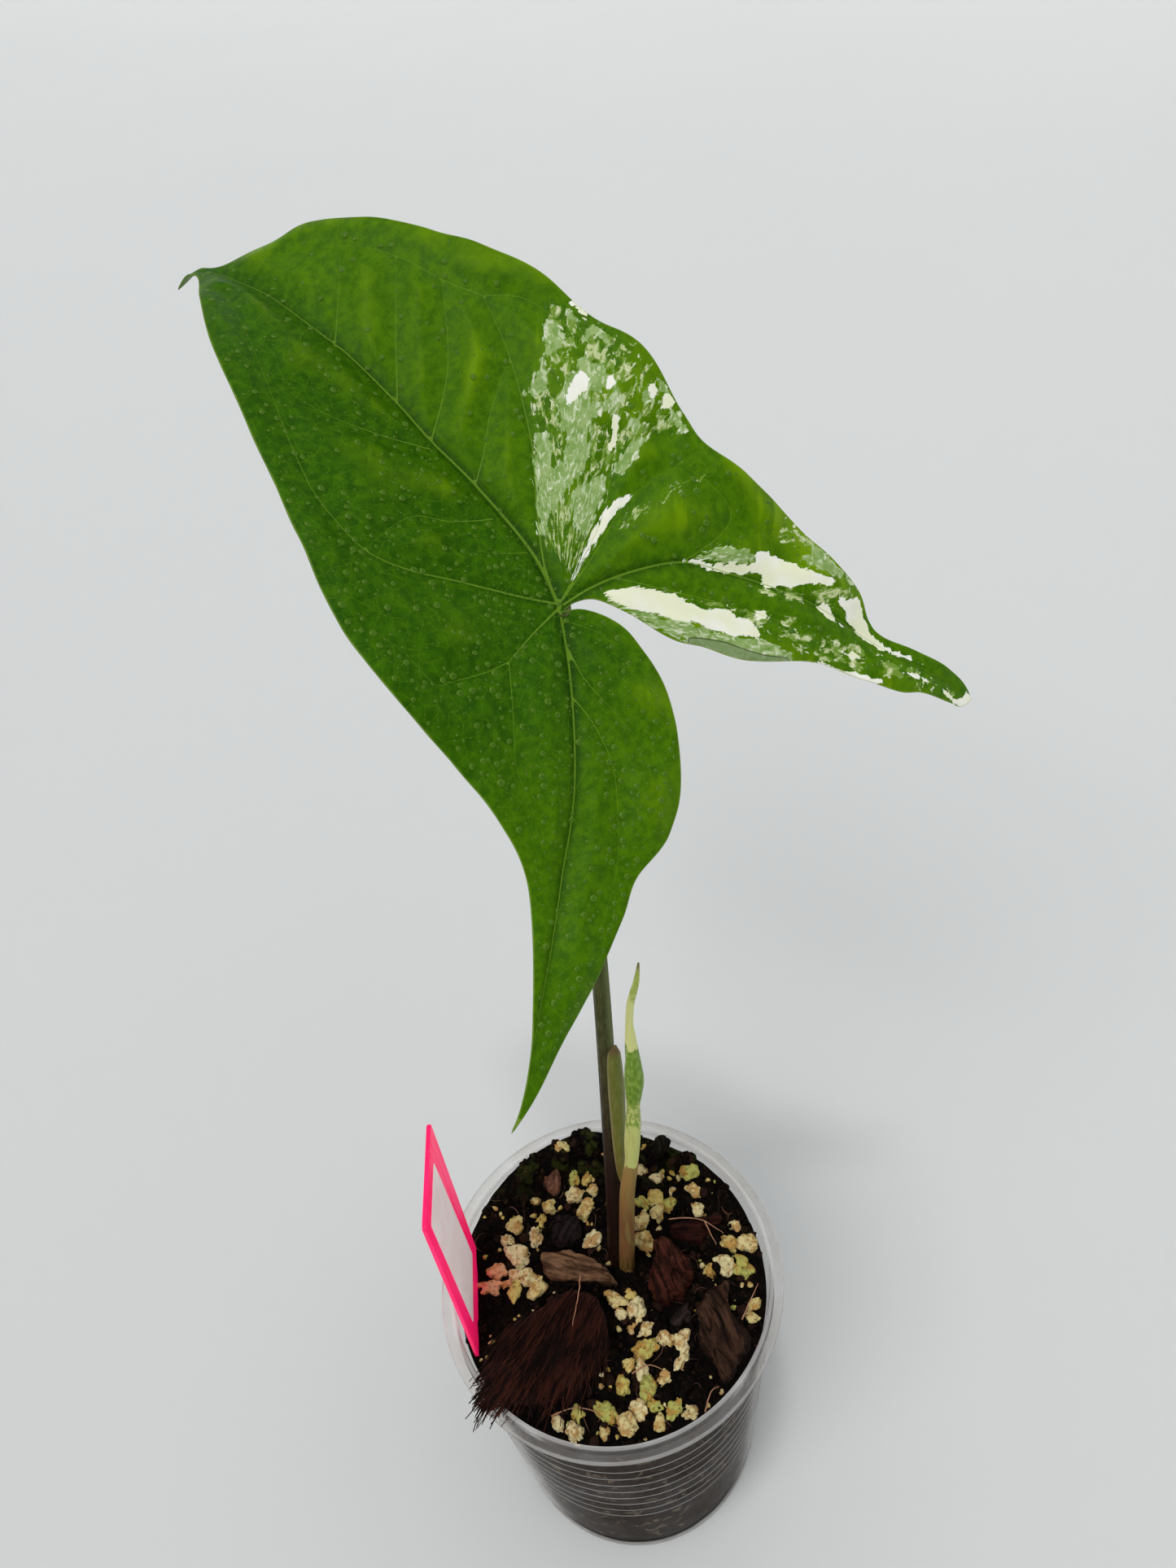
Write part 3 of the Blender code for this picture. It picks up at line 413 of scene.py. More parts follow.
# Lights: direction, strength, width in degrees and colour
LIGHTS = {
    "key_light": ((0.5, 0.6, -0.85), 1.60, 40, (1.0, 0.99, 0.97)),
    "fill_light": ((-0.8, 0.3, -0.7), 0.35, 70, (0.97, 0.99, 1.0)),
    "spark_light": ((0.05, 0.10, -1.0), 0.35, 5, (1.0, 1.0, 1.0)),
}
SKY_COLOUR = (0.95, 0.965, 0.98, 1.0)
SKY_STRENGTH = 0.50


def linear(red, green, blue):
    """A display colour, 0 to 255 a channel, as the linear values that a shader takes."""
    parts = [c / 255 for c in (red, green, blue)]
    return (*[c / 12.92 if c <= 0.04045 else ((c + 0.055) / 1.055) ** 2.4 for c in parts], 1.0)


class Finish:
    """A Principled material under construction, with short calls for the nodes that it needs."""

    def __init__(self, name, **sockets):
        self.material = bpy.data.materials.new(name)
        self.material.use_nodes = True
        self.tree = self.material.node_tree
        self.shader = self.tree.nodes["Principled BSDF"]
        self.done(**sockets)

    def done(self, **sockets):
        for socket, value in sockets.items():
            self.feed(self.shader.inputs[socket.replace("_", " ")], value)
        return self.material

    def feed(self, socket, value):
        if isinstance(value, bpy.types.NodeSocket):
            self.tree.links.new(value, socket)
        else:
            socket.default_value = value

    def node(self, kind, inputs, output=0, **settings):
        made = self.tree.nodes.new(kind)
        for name, value in settings.items():
            setattr(made, name, value)
        for socket, value in inputs.items():
            self.feed(made.inputs[socket], value)
        return made.outputs[output]

    def place(self):
        return self.node("ShaderNodeTexCoord", {}, "Object")

    def stored(self, name, output="Fac"):
        return self.node("ShaderNodeAttribute", {}, output, attribute_name=name)

    def part_of(self, place, axis="Z"):
        """One coordinate of a place: its height, unless another axis is named."""
        return self.node("ShaderNodeSeparateXYZ", {"Vector": place}, axis)

    def scaled(self, place, scale):
        return self.node("ShaderNodeMapping", {"Vector": place, "Scale": scale})

    def leaning(self, place, turn):
        """Places turned about Z, so that a noise stretched along X runs at a slant."""
        return self.node("ShaderNodeMapping", {"Vector": place, "Rotation": (0.0, 0.0, turn)})

    def noise(self, place, scale, detail=3.0, roughness=0.55, warp=0.0):
        inputs = {"Vector": place, "Scale": scale, "Detail": detail}
        return self.node("ShaderNodeTexNoise", {**inputs, "Roughness": roughness, "Distortion": warp})

    def cell_edges(self, place, scale):
        inputs = {"Vector": place, "Scale": scale}
        return self.node("ShaderNodeTexVoronoi", inputs, "Distance", feature="DISTANCE_TO_EDGE")

    def ramp(self, value, low, high, start=0.0, end=1.0):
        """The value between low and high turned smoothly into start to end, and held beyond them."""
        inputs = {"Value": value, "From Min": low, "From Max": high, "To Min": start, "To Max": end}
        return self.node("ShaderNodeMapRange", inputs, interpolation_type="SMOOTHSTEP")

    def band(self, value, low, rise, fall, high):
        """Nothing up to low, one from rise to fall, and nothing again from high."""
        return self.times(self.ramp(value, low, rise), self.ramp(value, high, fall))

    def maths(self, operation, first, second):
        return self.node("ShaderNodeMath", {0: first, 1: second}, operation=operation)

    def plus(self, first, second):
        return self.maths("ADD", first, second)

    def times(self, first, second):
        return self.maths("MULTIPLY", first, second)

    def swing(self, noise, reach):
        """A noise about its middle value, widened by a reach."""
        return self.times(self.maths("SUBTRACT", noise, 0.5), reach)

    def blend(self, share, first, second):
        """Colours mixed by a share; plain triples are display colours."""
        made = self.tree.nodes.new("ShaderNodeMix")
        made.data_type = "RGBA"
        for index, value in ((0, share), (6, first), (7, second)):
            self.feed(made.inputs[index], linear(*value) if isinstance(value, tuple) else value)
        return made.outputs[2]

    def over(self, colour, tint, value, low, high, most=1.0):
        """A colour with a tint over it, none where the value is low and most where it is high."""
        return self.blend(self.ramp(value, low, high, 0.0, most), colour, tint)

    def bump(self, height, distance, strength):
        return self.node("ShaderNodeBump", {"Height": height, "Distance": distance, "Strength": strength})


class Heap:
    """Corners and faces gathered from many small shapes, with a tint stored on each corner."""

    def __init__(self):
        self.corners = []
        self.faces = []
        self.tints = []
        self.count = 0

    def add(self, corners, faces, tint):
        self.corners.append(np.asarray(corners, float))
        self.faces.extend([tuple(i + self.count for i in face) for face in faces])
        self.tints.append(np.broadcast_to(tint, len(corners)))
        self.count += len(corners)

    def piece(self, name, material, node):
        mesh = plain_mesh(name, np.vstack(self.corners), self.faces)
        store(mesh, "tint", np.concatenate(self.tints))
        add_piece(mesh, material, node)


def new_object(name, data):
    item = bpy.data.objects.new(name, data)
    bpy.context.scene.collection.objects.link(item)
    return item


def plain_mesh(name, corners, faces):
    mesh = bpy.data.meshes.new(name)
    mesh.from_pydata(np.asarray(corners).tolist(), [], faces)
    mesh.update()
    return mesh


def store(mesh, name, values):
    """Keep a number, or a vector, for each corner of a mesh."""
    values = np.asarray(values, np.float32)
    kind, field = ("FLOAT", "value") if values.ndim == 1 else ("FLOAT_VECTOR", "vector")
    mesh.attributes.new(name, kind, "POINT").data.foreach_set(field, values.ravel())


def add_piece(mesh, material, node, sharp=None):
    """Put a mesh into the scene in place of a node; edges sharper than the given degrees stay sharp."""
    mesh.materials.append(material)
    mesh.shade_smooth()
    if sharp is not None:
        mesh.set_sharp_from_angle(angle=math.radians(sharp))
    item = new_object(mesh.name, mesh)
    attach(item, "root")
    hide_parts(node)


def smooth_points(points, per_span):
    """Points on a Catmull-Rom curve through the given points, of any dimension."""
    result = []
    last = len(points) - 1
    for i in range(last):
        before = points[max(i - 1, 0)]
        start = points[i]
        end = points[i + 1]
        after = points[min(i + 2, last)]
        for k in range(per_span):
            t = k / per_span
            weights = (
                -0.5 * t + t * t - 0.5 * t ** 3,
                1 - 2.5 * t * t + 1.5 * t ** 3,
                0.5 * t + 2 * t * t - 1.5 * t ** 3,
                -0.5 * t * t + 0.5 * t ** 3,
            )
            rows = zip(before, start, end, after)
            result.append(tuple(sum(w * c for w, c in zip(weights, row)) for row in rows))
    result.append(tuple(points[-1]))
    return result


def even_points(points, step):
    """Evenly spaced points on a smooth curve through the given ones."""
    return spaced(np.array(smooth_points(points, CURVE_STEPS)), step, 2)


def closed_points(outline, step):
    """Evenly spaced points round a smooth closed outline, without its first point again."""
    wrapped = (outline[-1], *outline, outline[0], outline[1])
    fine = np.array(smooth_points(wrapped, CURVE_STEPS))[CURVE_STEPS:-CURVE_STEPS]
    return spaced(fine, step, 6)[:-1]


def spaced(fine, step, least):
    """Evenly spaced points along a dense line and at its end, in at least so many steps."""
    spans = np.linalg.norm(np.diff(fine, axis=0), axis=1)
    travelled = np.concatenate(([0.0], np.cumsum(spans)))
    count = max(least, round(travelled[-1] / step))
    wanted = np.linspace(0.0, travelled[-1], count + 1)
    return np.column_stack([np.interp(wanted, travelled, column) for column in fine.T])


def gap_to(samples, places):
    """Distance from each flat place to the nearest of the flat samples."""
    tree = kdtree.KDTree(len(samples))
    for i, sample in enumerate(samples):
        tree.insert((*sample, 0.0), i)
    tree.balance()
    return np.array([tree.find((x, y, 0.0))[2] for x, y in places])


def drawn_place(draw, reach):
    """A place drawn evenly from a disc round the axis."""
    angle = draw.uniform(0, math.tau)
    away = reach * math.sqrt(draw.random())
    return away * math.cos(angle), away * math.sin(angle)


def signed_distance(places, outline):
    """How far each place lies inside a closed outline, or outside it as a negative number."""
    nearest = np.full(len(places), np.inf)
    within = np.zeros(len(places), bool)
    for a, b in zip(outline, np.roll(outline, -1, axis=0)):
        run = b - a
        share = np.clip(((places - a) @ run) / (run @ run), 0.0, 1.0)
        gap = places - a - share[:, None] * run
        nearest = np.minimum(nearest, np.hypot(gap[:, 0], gap[:, 1]))
        crossing = (a[1] > places[:, 1]) != (b[1] > places[:, 1])
        rise = run[1] if run[1] else 1e-12
        within ^= crossing & (places[:, 0] < a[0] + run[0] * (places[:, 1] - a[1]) / rise)
    return np.where(within, nearest, -nearest)


def patch_depth(places, patches, reach=2.5):
    """The greatest signed distance to any of the patches, at most the reach outside them."""
    depth = np.full(len(places), -reach)
    for patch in patches:
        outline = closed_points(patch, 0.6)
        low = outline.min(axis=0) - reach
        high = outline.max(axis=0) + reach
        near = np.all((places > low) & (places < high), axis=1)
        if near.any():
            depth[near] = np.maximum(depth[near], signed_distance(places[near], outline))
    return depth


def rough_field(places, size, seed=0.0):
    """Smooth noise between about -1 and 1 at each place, in lumps of the given size."""
    shift = Vector((seed, 2.7 * seed, -1.3 * seed))
    return np.array([noise.noise(Vector(p) / size + shift) for p in places])


def swept(path, radii, sides):
    """A round bar along points, each with a radius, as corners in rings with a point at both ends."""
    path = np.asarray(path, float)
    along = np.gradient(path, axis=0)
    along /= np.linalg.norm(along, axis=1)[:, None]
    side = np.cross(along[0], (0.31, 0.17, 0.93))
    rings = []
    angles = np.linspace(0.0, math.tau, sides, endpoint=False)
    for point, direction, radius in zip(path, along, np.broadcast_to(radii, len(path))):
        side = side - direction * (side @ direction)
        side /= np.linalg.norm(side)
        other = np.cross(direction, side)
        rings.append(point + radius * (np.cos(angles)[:, None] * side + np.sin(angles)[:, None] * other))
    return np.vstack([*rings, path[:1], path[-1:]]), capped_faces(len(path), sides)


def fluted(corners, path, sides, factor):
    """Move the corners of a swept bar's rings towards or away from its path, and return the rings."""
    body = corners[:-2].reshape(len(path), sides, 3)
    body = path[:, None, :] + (body - path[:, None, :]) * factor
    corners[:-2] = body.reshape(-1, 3)
    return body


def capped_faces(rings, sides, flipped=False):
    """Quads between rings of corners, and a fan at either end to two corners that come after the rings."""
    faces = ring_faces(rings, sides)
    first = rings * sides
    last = first - sides
    faces += [((i + 1) % sides, i, first) for i in range(sides)]
    faces += [(last + i, last + (i + 1) % sides, first + 1) for i in range(sides)]
    return [face[::-1] for face in faces] if flipped else faces


def circles(profile, steps):
    """Rings of corners round Z, one for each radius and height of a profile."""
    angles = np.linspace(0.0, math.tau, steps, endpoint=False)
    rings = [np.column_stack((r * np.cos(angles), r * np.sin(angles), np.full(steps, h))) for r, h in profile]
    return np.vstack(rings)


def ring_faces(rings, sides):
    faces = []
    for ring in range(rings - 1):
        low = ring * sides
        for i in range(sides):
            j = (i + 1) % sides
            faces.append((low + i, low + j, low + sides + j, low + sides + i))
    return faces


def turned(profile, steps):
    """Corners and faces of a profile of (radius, height) turned about Z, closed at both ends on the axis."""
    inner = profile[1:-1]
    corners = np.vstack([circles(inner, steps), [(0, 0, profile[0][1])], [(0, 0, profile[-1][1])]])
    return corners, capped_faces(len(inner), steps, flipped=True)


def cup_radius(height):
    return CUP_BASE_RADIUS + (CUP_TOP_RADIUS - CUP_BASE_RADIUS) * height / CUP_HEIGHT


def cup_profile():
    """From the inside of the floor up the wall, over the stacking rim and down the ribbed outside."""
    points = [(0.0, CUP_FLOOR), (0.5 * CUP_BASE_RADIUS, CUP_FLOOR)]
    points += [(cup_radius(h) - CUP_WALL, h) for h in np.linspace(CUP_FLOOR, CUP_WALL_TOP, 24)]
    points += [(r * MM, h * MM) for r, h in RIM_SECTION]
    ribs = [CUP_HEIGHT - RIB_FIRST_DEPTH - RIB_PITCH * i for i in range(RIB_COUNT)]
    heights = [np.arange(CUP_OUTSIDE_TOP, ribs[0] + 0.0012, -0.0016)]
    heights += [np.linspace(rib + RIB_REACH, rib - RIB_REACH, 10) for rib in ribs]
    heights += [np.arange(ribs[-1] - 0.0025, 0.0016, -0.003)]
    for height in np.concatenate(heights):
        proud = sum(RIB_HEIGHT * math.exp(-((height - rib) / RIB_HALF_WIDTH) ** 2) for rib in ribs)
        points.append((cup_radius(height) + proud, height))
    points += [(r * MM, h * MM) for r, h in FOOT_SECTION]
    return points


def build_cup():
    corners, faces = turned(cup_profile(), int(160 / COARSE))
    add_piece(plain_mesh("nursery_cup", corners, faces), cup_plastic(), "cup", sharp=60)


def cup_plastic():
    """Milky clear plastic: hazed unevenly, with faint moulding lines round its outside and hazier rim ridges,
    partly painted highlights for the light that they catch.
    """
    look = Finish("milky_plastic", IOR=1.012)
    place = look.place()
    height = look.part_of(place)
    haze = look.noise(place, 90.0, 4.0, 0.6)
    colour = look.blend(look.ramp(haze, 0.35, 0.7), (240, 236, 232), (250, 250, 250))
    clear = look.ramp(haze, 0.35, 0.7, 0.996, 0.982)
    # Moulding lines on the outside only, and the rim's ridges: milkier, partly as their own haze and partly
    # as painted highlight.
    turns = look.maths("DIVIDE", look.maths("SUBTRACT", height, CUP_HEIGHT - RIB_LAST_DEPTH), RIB_PITCH)
    line = look.ramp(look.maths("PINGPONG", turns, 0.5), 0.03, 0.06, 0.45, 0.0)
    ribbed = look.band(height, *RIBBED_BAND)
    level = look.scaled(place, (1.0, 1.0, 0.0))
    radius = look.node("ShaderNodeVectorMath", {0: level}, "Value", operation="LENGTH")
    taper = look.times(height, (CUP_TOP_RADIUS - CUP_BASE_RADIUS) / CUP_HEIGHT)
    middle = look.plus(taper, CUP_BASE_RADIUS - 0.5 * CUP_WALL)
    ribbed = look.times(ribbed, look.maths("GREATER_THAN", radius, middle))
    milky = look.plus(look.times(line, ribbed), look.ramp(height, *WALL_HAZE, 0.0, 0.05))
    ridges = look.plus(look.band(height, *RIM_BAND), look.ramp(height, *LIP_HAZE_AND_GLINT))
    milky = look.plus(milky, look.times(ridges, 0.26))
    clear = look.maths("SUBTRACT", clear, milky)
    rough = look.ramp(haze, 0.3, 0.75, 0.06, 0.14)
    return look.done(Base_Color=colour, Roughness=rough, Transmission_Weight=clear)


def soil_height(x, y):
    """Height of the crumbly surface of the solid at a place."""
    coarse = noise.noise(Vector((x, y, 0.0)) / SOIL_BUMP_SIZE)
    fine = noise.noise(Vector((x, y, 0.1)) / (0.4 * SOIL_BUMP_SIZE))
    edge = min(1.0, max(0.0, (math.hypot(x, y) - SOIL_EDGE_START) / SOIL_EDGE_WIDTH))
    bumps = SOIL_BUMP * (coarse + 0.5 * fine) * (1 - 0.6 * edge)
    return SOIL_TOP + (SOIL_EDGE_TOP - SOIL_TOP) * edge + bumps


def eased(value, low, high):
    share = min(1.0, max(0.0, (value - low) / (high - low)))
    return share * share * (3 - 2 * share)


def ground(x, y):
    """The surface that shows: the solid's, banked up against the back of the cup."""
    angles, heights = zip(*BANK)
    turn = math.degrees(math.atan2(y, x))
    bank = np.interp(turn, angles, heights) * MM
    return soil_height(x, y) + bank * eased(math.hypot(x, y), BANK_START, BANK_END)


def build_soil():
    """The soil plug: a crumbly top, a side pressed against the cup, and a flat bottom."""
    floor = CUP_FLOOR + SOIL_GAP
    side = CUP_WALL + SOIL_GAP
    rings = int(100 / COARSE)
    outer = cup_radius(SOIL_EDGE_TOP) - side
    profile = [(0.0, floor), (0.4 * CUP_BASE_RADIUS, floor)]
    profile += [(cup_radius(h) - side, h) for h in np.linspace(floor, SOIL_SIDE_TOP, int(56 / COARSE))]
    profile += [(outer * (1 - i / rings), SOIL_TOP) for i in range(rings)]
    profile.append((0.0, SOIL_TOP))
    corners, faces = turned(profile[::-1], int(250 / COARSE))
    top = corners[:, 2] >= SOIL_TOP - 1e-6
    lumps = sum(high * rough_field(corners, size, seed) for high, size, seed in SOIL_LUMPS)
    corners[top, 2] = [ground(x, y) for x, y in corners[top, :2]]
    corners[top, 2] += lumps[top]
    wall = ~top & (corners[:, 2] > floor + 0.0005)
    dents = np.clip(rough_field(corners, 0.004, 1.0) + 0.6 * rough_field(corners, 0.0013, 2.0), -0.2, 1.0)
    shrink = 1 - np.where(wall, np.maximum(dents, 0.0) * SOIL_DENT / SOIL_RADIUS, 0.0)
    corners[:, :2] *= shrink[:, None]
    add_piece(plain_mesh("potting_soil", corners, faces), dark_soil(), "soil")


def mossy(look, place, scale, low, most):
    """How mossy a place is: in patches, at the back of the cup."""
    back = look.ramp(look.part_of(place, "Y"), *MOSSY_DEPTH)
    return look.times(back, look.ramp(look.noise(place, scale, 2.0), low, 0.62, 0.0, most))


def dark_soil():
    """Near-black peat, mossy at the back, and browner with pale grains where it presses on the cup."""
    look = Finish("dark_soil", Specular_IOR_Level=0.04)
    place = look.place()
    grain = look.noise(place, 900.0, 5.0, 0.7)
    patches = look.noise(place, 180.0, 3.0)
    colour = look.blend(look.ramp(grain, 0.45, 0.75), (8, 6, 5), (34, 24, 18))
    colour = look.over(colour, (60, 40, 28), patches, 0.6, 0.72, 0.5)
    colour = look.blend(mossy(look, place, 260.0, 0.52, 0.6), colour, (52, 60, 20))
    pressed = look.blend(look.ramp(grain, 0.40, 0.65), (40, 32, 28), (72, 60, 53))
    pressed = look.over(pressed, (112, 102, 84), look.noise(place, 330.0, 2.0), 0.60, 0.66)
    colour = look.over(colour, pressed, look.part_of(place), *SOIL_PRESSED)
    rough = look.ramp(grain, 0.3, 0.7, 0.62, 0.95)
    return look.done(Base_Color=colour, Roughness=rough, Normal=look.bump(grain, 0.0003, 0.9))


def lumpy_ball(level, radius, seed, rough=0.3):
    """A ball with its surface pushed in and out, as corners and faces round the origin."""
    work = bmesh.new()
    bmesh.ops.create_icosphere(work, subdivisions=level, radius=radius)
    corners = np.array([v.co for v in work.verts])
    faces = [tuple(v.index for v in f.verts) for f in work.faces]
    work.free()
    push = rough_field(corners, radius * 0.9, seed) + 0.5 * rough_field(corners, radius * 0.35, seed + 4)
    return corners * (1 + rough * push)[:, None], faces


def build_crumbs():
    """Loose crumbs on the soil, and clods at its back."""
    draw = random.Random(CRUMB_SEED)
    heap = Heap()
    for _ in range(int(CRUMB_COUNT / COARSE)):
        x, y = drawn_place(draw, CRUMB_REACH)
        size = CRUMB_SMALL + CRUMB_SPREAD * draw.random() ** 2.5
        corners, faces = lumpy_ball(2 if size > 0.0008 else 1, size, draw.uniform(0, 50), 0.45)
        heap.add(corners * (1, 1, 0.8) + (x, y, ground(x, y) + 0.3 * size), faces, draw.random())
    for x, y, width, top in CLODS:
        for _ in range(CLOD_LUMPS):
            size = width * MM * draw.uniform(0.22, 0.42)
            angle = draw.uniform(0, math.tau)
            off = width * MM * 0.8 * math.sqrt(draw.random())
            cx, cy = x * MM + off * math.cos(angle), y * MM + off * math.sin(angle)
            shrink = min(1.0, (cup_radius(CLOD_LEVEL) - CUP_WALL - 0.7 * size) / math.hypot(cx, cy))
            cx, cy = cx * shrink, cy * shrink
            crown = top * MM - size - (off / (width * MM)) * CLOD_DROP
            for height in np.linspace(ground(cx, cy), crown, 2):
                corners, faces = lumpy_ball(3, size, draw.uniform(0, 50), 0.55)
                heap.add(corners + (cx, cy, height), faces, draw.random())
    heap.piece("soil_crumbs", crumb_soil(), "soil")


def crumb_soil():
    look = Finish("crumbs", Roughness=0.85, Specular_IOR_Level=0.06)
    place = look.place()
    grain = look.noise(place, 1400.0, 4.0, 0.65)
    tint = look.stored("tint")
    colour = look.blend(look.ramp(tint, 0.55, 1.0), (7, 5, 4), (44, 28, 20))
    colour = look.over(colour, (66, 46, 33), grain, 0.5, 0.8, 0.6)
    colour = look.blend(mossy(look, place, 300.0, 0.5, 0.55), colour, (58, 66, 22))
    return look.done(Base_Color=colour, Normal=look.bump(grain, 0.0003, 0.8))


def near_chunk(x, y, margin):
    return any(inside(x, y, chunk[0], margin) for chunk in CHUNKS.values())


def blocked(x, y, size, places):
    """Whether a grain at a place would meet the cup, the card, a chunk, a stalk or another grain."""
    if math.hypot(x, y) > PUMICE_REACH or abs(x - CARD_X) < size + CARD_CLEARANCE:
        return True
    if near_chunk(x, y, size * 0.9 + CHUNK_CLEARANCE):
        return True
    for foot_x, foot_y, radius in FEET:
        if math.hypot(x - foot_x * MM, y - foot_y * MM) < size + radius * MM + FOOT_CLEARANCE:
            return True
    return any(math.hypot(x - a, y - b) < 0.82 * (size + other) for a, b, other in places)


def inside(x, y, outline, margin):
    """Whether a place lies inside an outline in millimetres, or nearer to it than the margin."""
    point = Vector((x, y))
    within = False
    for i, corner in enumerate(outline):
        a = Vector(corner) * MM
        b = Vector(outline[i - 1]) * MM
        nearest, share = geometry.intersect_point_line(point, a, b)
        nearest = a if share < 0 else b if share > 1 else nearest
        if (point - nearest.to_2d()).length < margin:
            return True
        if (a.y > y) != (b.y > y) and x < a.x + (b.x - a.x) * (y - a.y) / (b.y - a.y):
            within = not within
    return within


def pumice_places():
    """Middle and radius of each pumice grain, by the same seeded rule as in the solid."""
    draw = random.Random(PUMICE_SEED)
    places = []
    for middle_x, middle_y, count, spread in PUMICE_CLUSTERS:
        placed = 0
        for _ in range(PUMICE_TRIES):
            away_x, away_y = drawn_place(draw, spread * MM)
            size = draw.uniform(PUMICE_SMALL, PUMICE_LARGE)
            x = middle_x * MM + away_x
            y = middle_y * MM + away_y
            if not blocked(x, y, size, places):
                places.append((x, y, size))
                placed += 1
            if placed == count:
                break
    return places


def build_pumice():
    """Knobbly, pitted grains in the soil, with small bits between them."""
    draw = random.Random(GRAIN_SEED)
    heap = Heap()
    places = [(*place, 4) for place in pumice_places()]
    for _ in range(PUMICE_BITS):
        x, y = drawn_place(draw, BIT_REACH)
        if not near_chunk(x, y, 0.0006):
            places.append((x, y, draw.uniform(*BIT_SIZES), 2))
    for number, (x, y, size, level) in enumerate(places):
        size *= draw.uniform(0.80, 1.05)
        corners, faces = lumpy_ball(level, size, number * 3.1, 0.0)
        broad = rough_field(corners, size * 1.1, number * 3.1)
        knobs = np.abs(rough_field(corners, size * 0.62, number))
        pits = np.clip(rough_field(corners, size * 0.15, number + 9.0) - 0.02, 0.0, 1.0)
        corners = corners * (0.84 + 0.60 * broad + 0.48 * knobs - 0.22 * pits)[:, None]
        stretch = draw.uniform(1.0, 1.45)
        corners = corners * (stretch, 1.0 / math.sqrt(stretch), draw.uniform(0.7, 0.9))
        turn = Matrix.Rotation(draw.uniform(0, math.tau), 3, "Z")
        corners = corners @ np.array(turn).T + (x, y, ground(x, y) + 0.3 * size)
        # Grains beside the pink card get a painted pink reflection of it.
        card_pink_reflection = 1.5 if x < -0.0205 and -0.002 < y < 0.007 else 0.0
        heap.add(corners, faces, draw.random() + card_pink_reflection)
    heap.piece("pumice", pitted_pumice(), "soil")


def pitted_pumice():
    """Cream grains, each a little yellower or greener than the next, brown in their pits; those beside the
    pink card carry a painted pink reflection of it.
    """
    look = Finish("pitted_pumice", Specular_IOR_Level=0.12)
    place = look.place()
    tint = look.stored("tint")
    grain = look.noise(place, 1300.0, 4.0, 0.6)
    stain = look.noise(place, 520.0, 4.0, 0.6)
    colour = look.blend(look.ramp(tint, 0.15, 0.45), (226, 212, 162), (216, 198, 136))
    colour = look.over(colour, (206, 184, 106), tint, 0.55, 0.75)
    colour = look.over(colour, (180, 182, 98), tint, 0.8, 0.9)
    colour = look.over(colour, (228, 168, 128), tint, 1.2, 1.5)
    colour = look.over(colour, (176, 124, 58), stain, 0.47, 0.58, 0.75)
    colour = look.over(colour, (84, 56, 24), grain, 0.54, 0.68, 0.8)
    return look.done(Base_Color=colour, Roughness=0.85, Normal=look.bump(grain, 0.0003, 1.0))


def blade_places(flat):
    """The blade's upper face in the frame, from places on the flattened blade in millimetres."""
    across, along = flat[:, 0] * MM, flat[:, 1] * MM
    bend = (np.clip(along, BEND_START, CURL_START) - BEND_START) / BEND_RADIUS
    curl = bend + np.maximum(along - CURL_START, 0.0) / CURL_RADIUS
    forward = np.minimum(along, BEND_START) + BEND_RADIUS * np.sin(bend)
    forward += CURL_RADIUS * (np.sin(curl) - np.sin(bend))
    drop = BEND_RADIUS * (1 - np.cos(bend)) + CURL_RADIUS * (np.cos(bend) - np.cos(curl))
    bow = MIDRIB_BOW * np.sin(np.pi * np.clip(forward / MIDRIB_LENGTH, 0.0, 1.0))
    side = np.hypot(across - bow, FOLD_ROUND) - FOLD_ROUND
    share = 1.0 / (1.0 + np.exp((FOLD_START - forward) / FOLD_BLEND))
    height = FOLD_SLOPE * side * share - ARCH * across ** 2 - drop
    height -= LOBE_DROOP * np.minimum(forward, 0.0) ** 2
    edge = np.minimum(side / WAVE_REACH, 1.0) ** 2
    height += WAVE_HEIGHT * edge * np.sin(math.tau * along / WAVE_LENGTH + np.where(across > 0, 2.0, 0.0))
    place = BLADE_JOINT + np.outer(across, BLADE_RIGHT)
    return place + np.outer(forward, BLADE_ALONG) + np.outer(height, BLADE_UP)


def blade_margin(step):
    """The blade's margin as evenly spaced flat points."""
    runs = (LEFT_LOBE_INNER, LEFT_MARGIN, RIGHT_MARGIN, RIGHT_LOBE_INNER + (LEFT_LOBE_INNER[0],))
    starts = ((), runs[0][-1:], runs[1][-1:], runs[2][-1:])
    return np.vstack([even_points(start + run, step)[:-1] for start, run in zip(starts, runs)])


def vein_fields(flat):
    """For each flat place: distance to the nearest vein, the same less the vein's half width, how deep the
    narrow groove and the wide trough of a vein are there, and how far a vein stands out beneath (mm)."""
    away, clear = np.full(len(flat), np.inf), np.full(len(flat), np.inf)
    groove, trough, rib = np.zeros(len(flat)), np.zeros(len(flat)), np.zeros(len(flat))
    for start_width, end_width, full_depth, points in VEINS:
        line = even_points(points, 0.3)
        gap = np.full(len(flat), np.inf)
        share = np.zeros(len(flat))
        for i, (a, run) in enumerate(zip(line, np.diff(line, axis=0))):
            along = np.clip(((flat - a) @ run) / (run @ run), 0.0, 1.0)
            here = np.hypot(*(flat - a - along[:, None] * run).T)
            closer = here < gap
            gap[closer] = here[closer]
            share[closer] = (i + along[closer]) / (len(line) - 1)
        width = start_width + (end_width - start_width) * share
        depth = full_depth * (1 - 0.6 * share)
        away = np.minimum(away, gap)
        clear = np.minimum(clear, gap - width)
        groove = np.maximum(groove, depth * np.exp(-(gap / (2.2 * width + 0.25)) ** 2))
        trough = np.maximum(trough, 0.9 * depth * np.exp(-(gap / 2.4) ** 2))
        rib = np.maximum(rib, 1.3 * width * np.exp(-(gap / (1.2 * width)) ** 2))
    return away, clear, groove, trough, rib


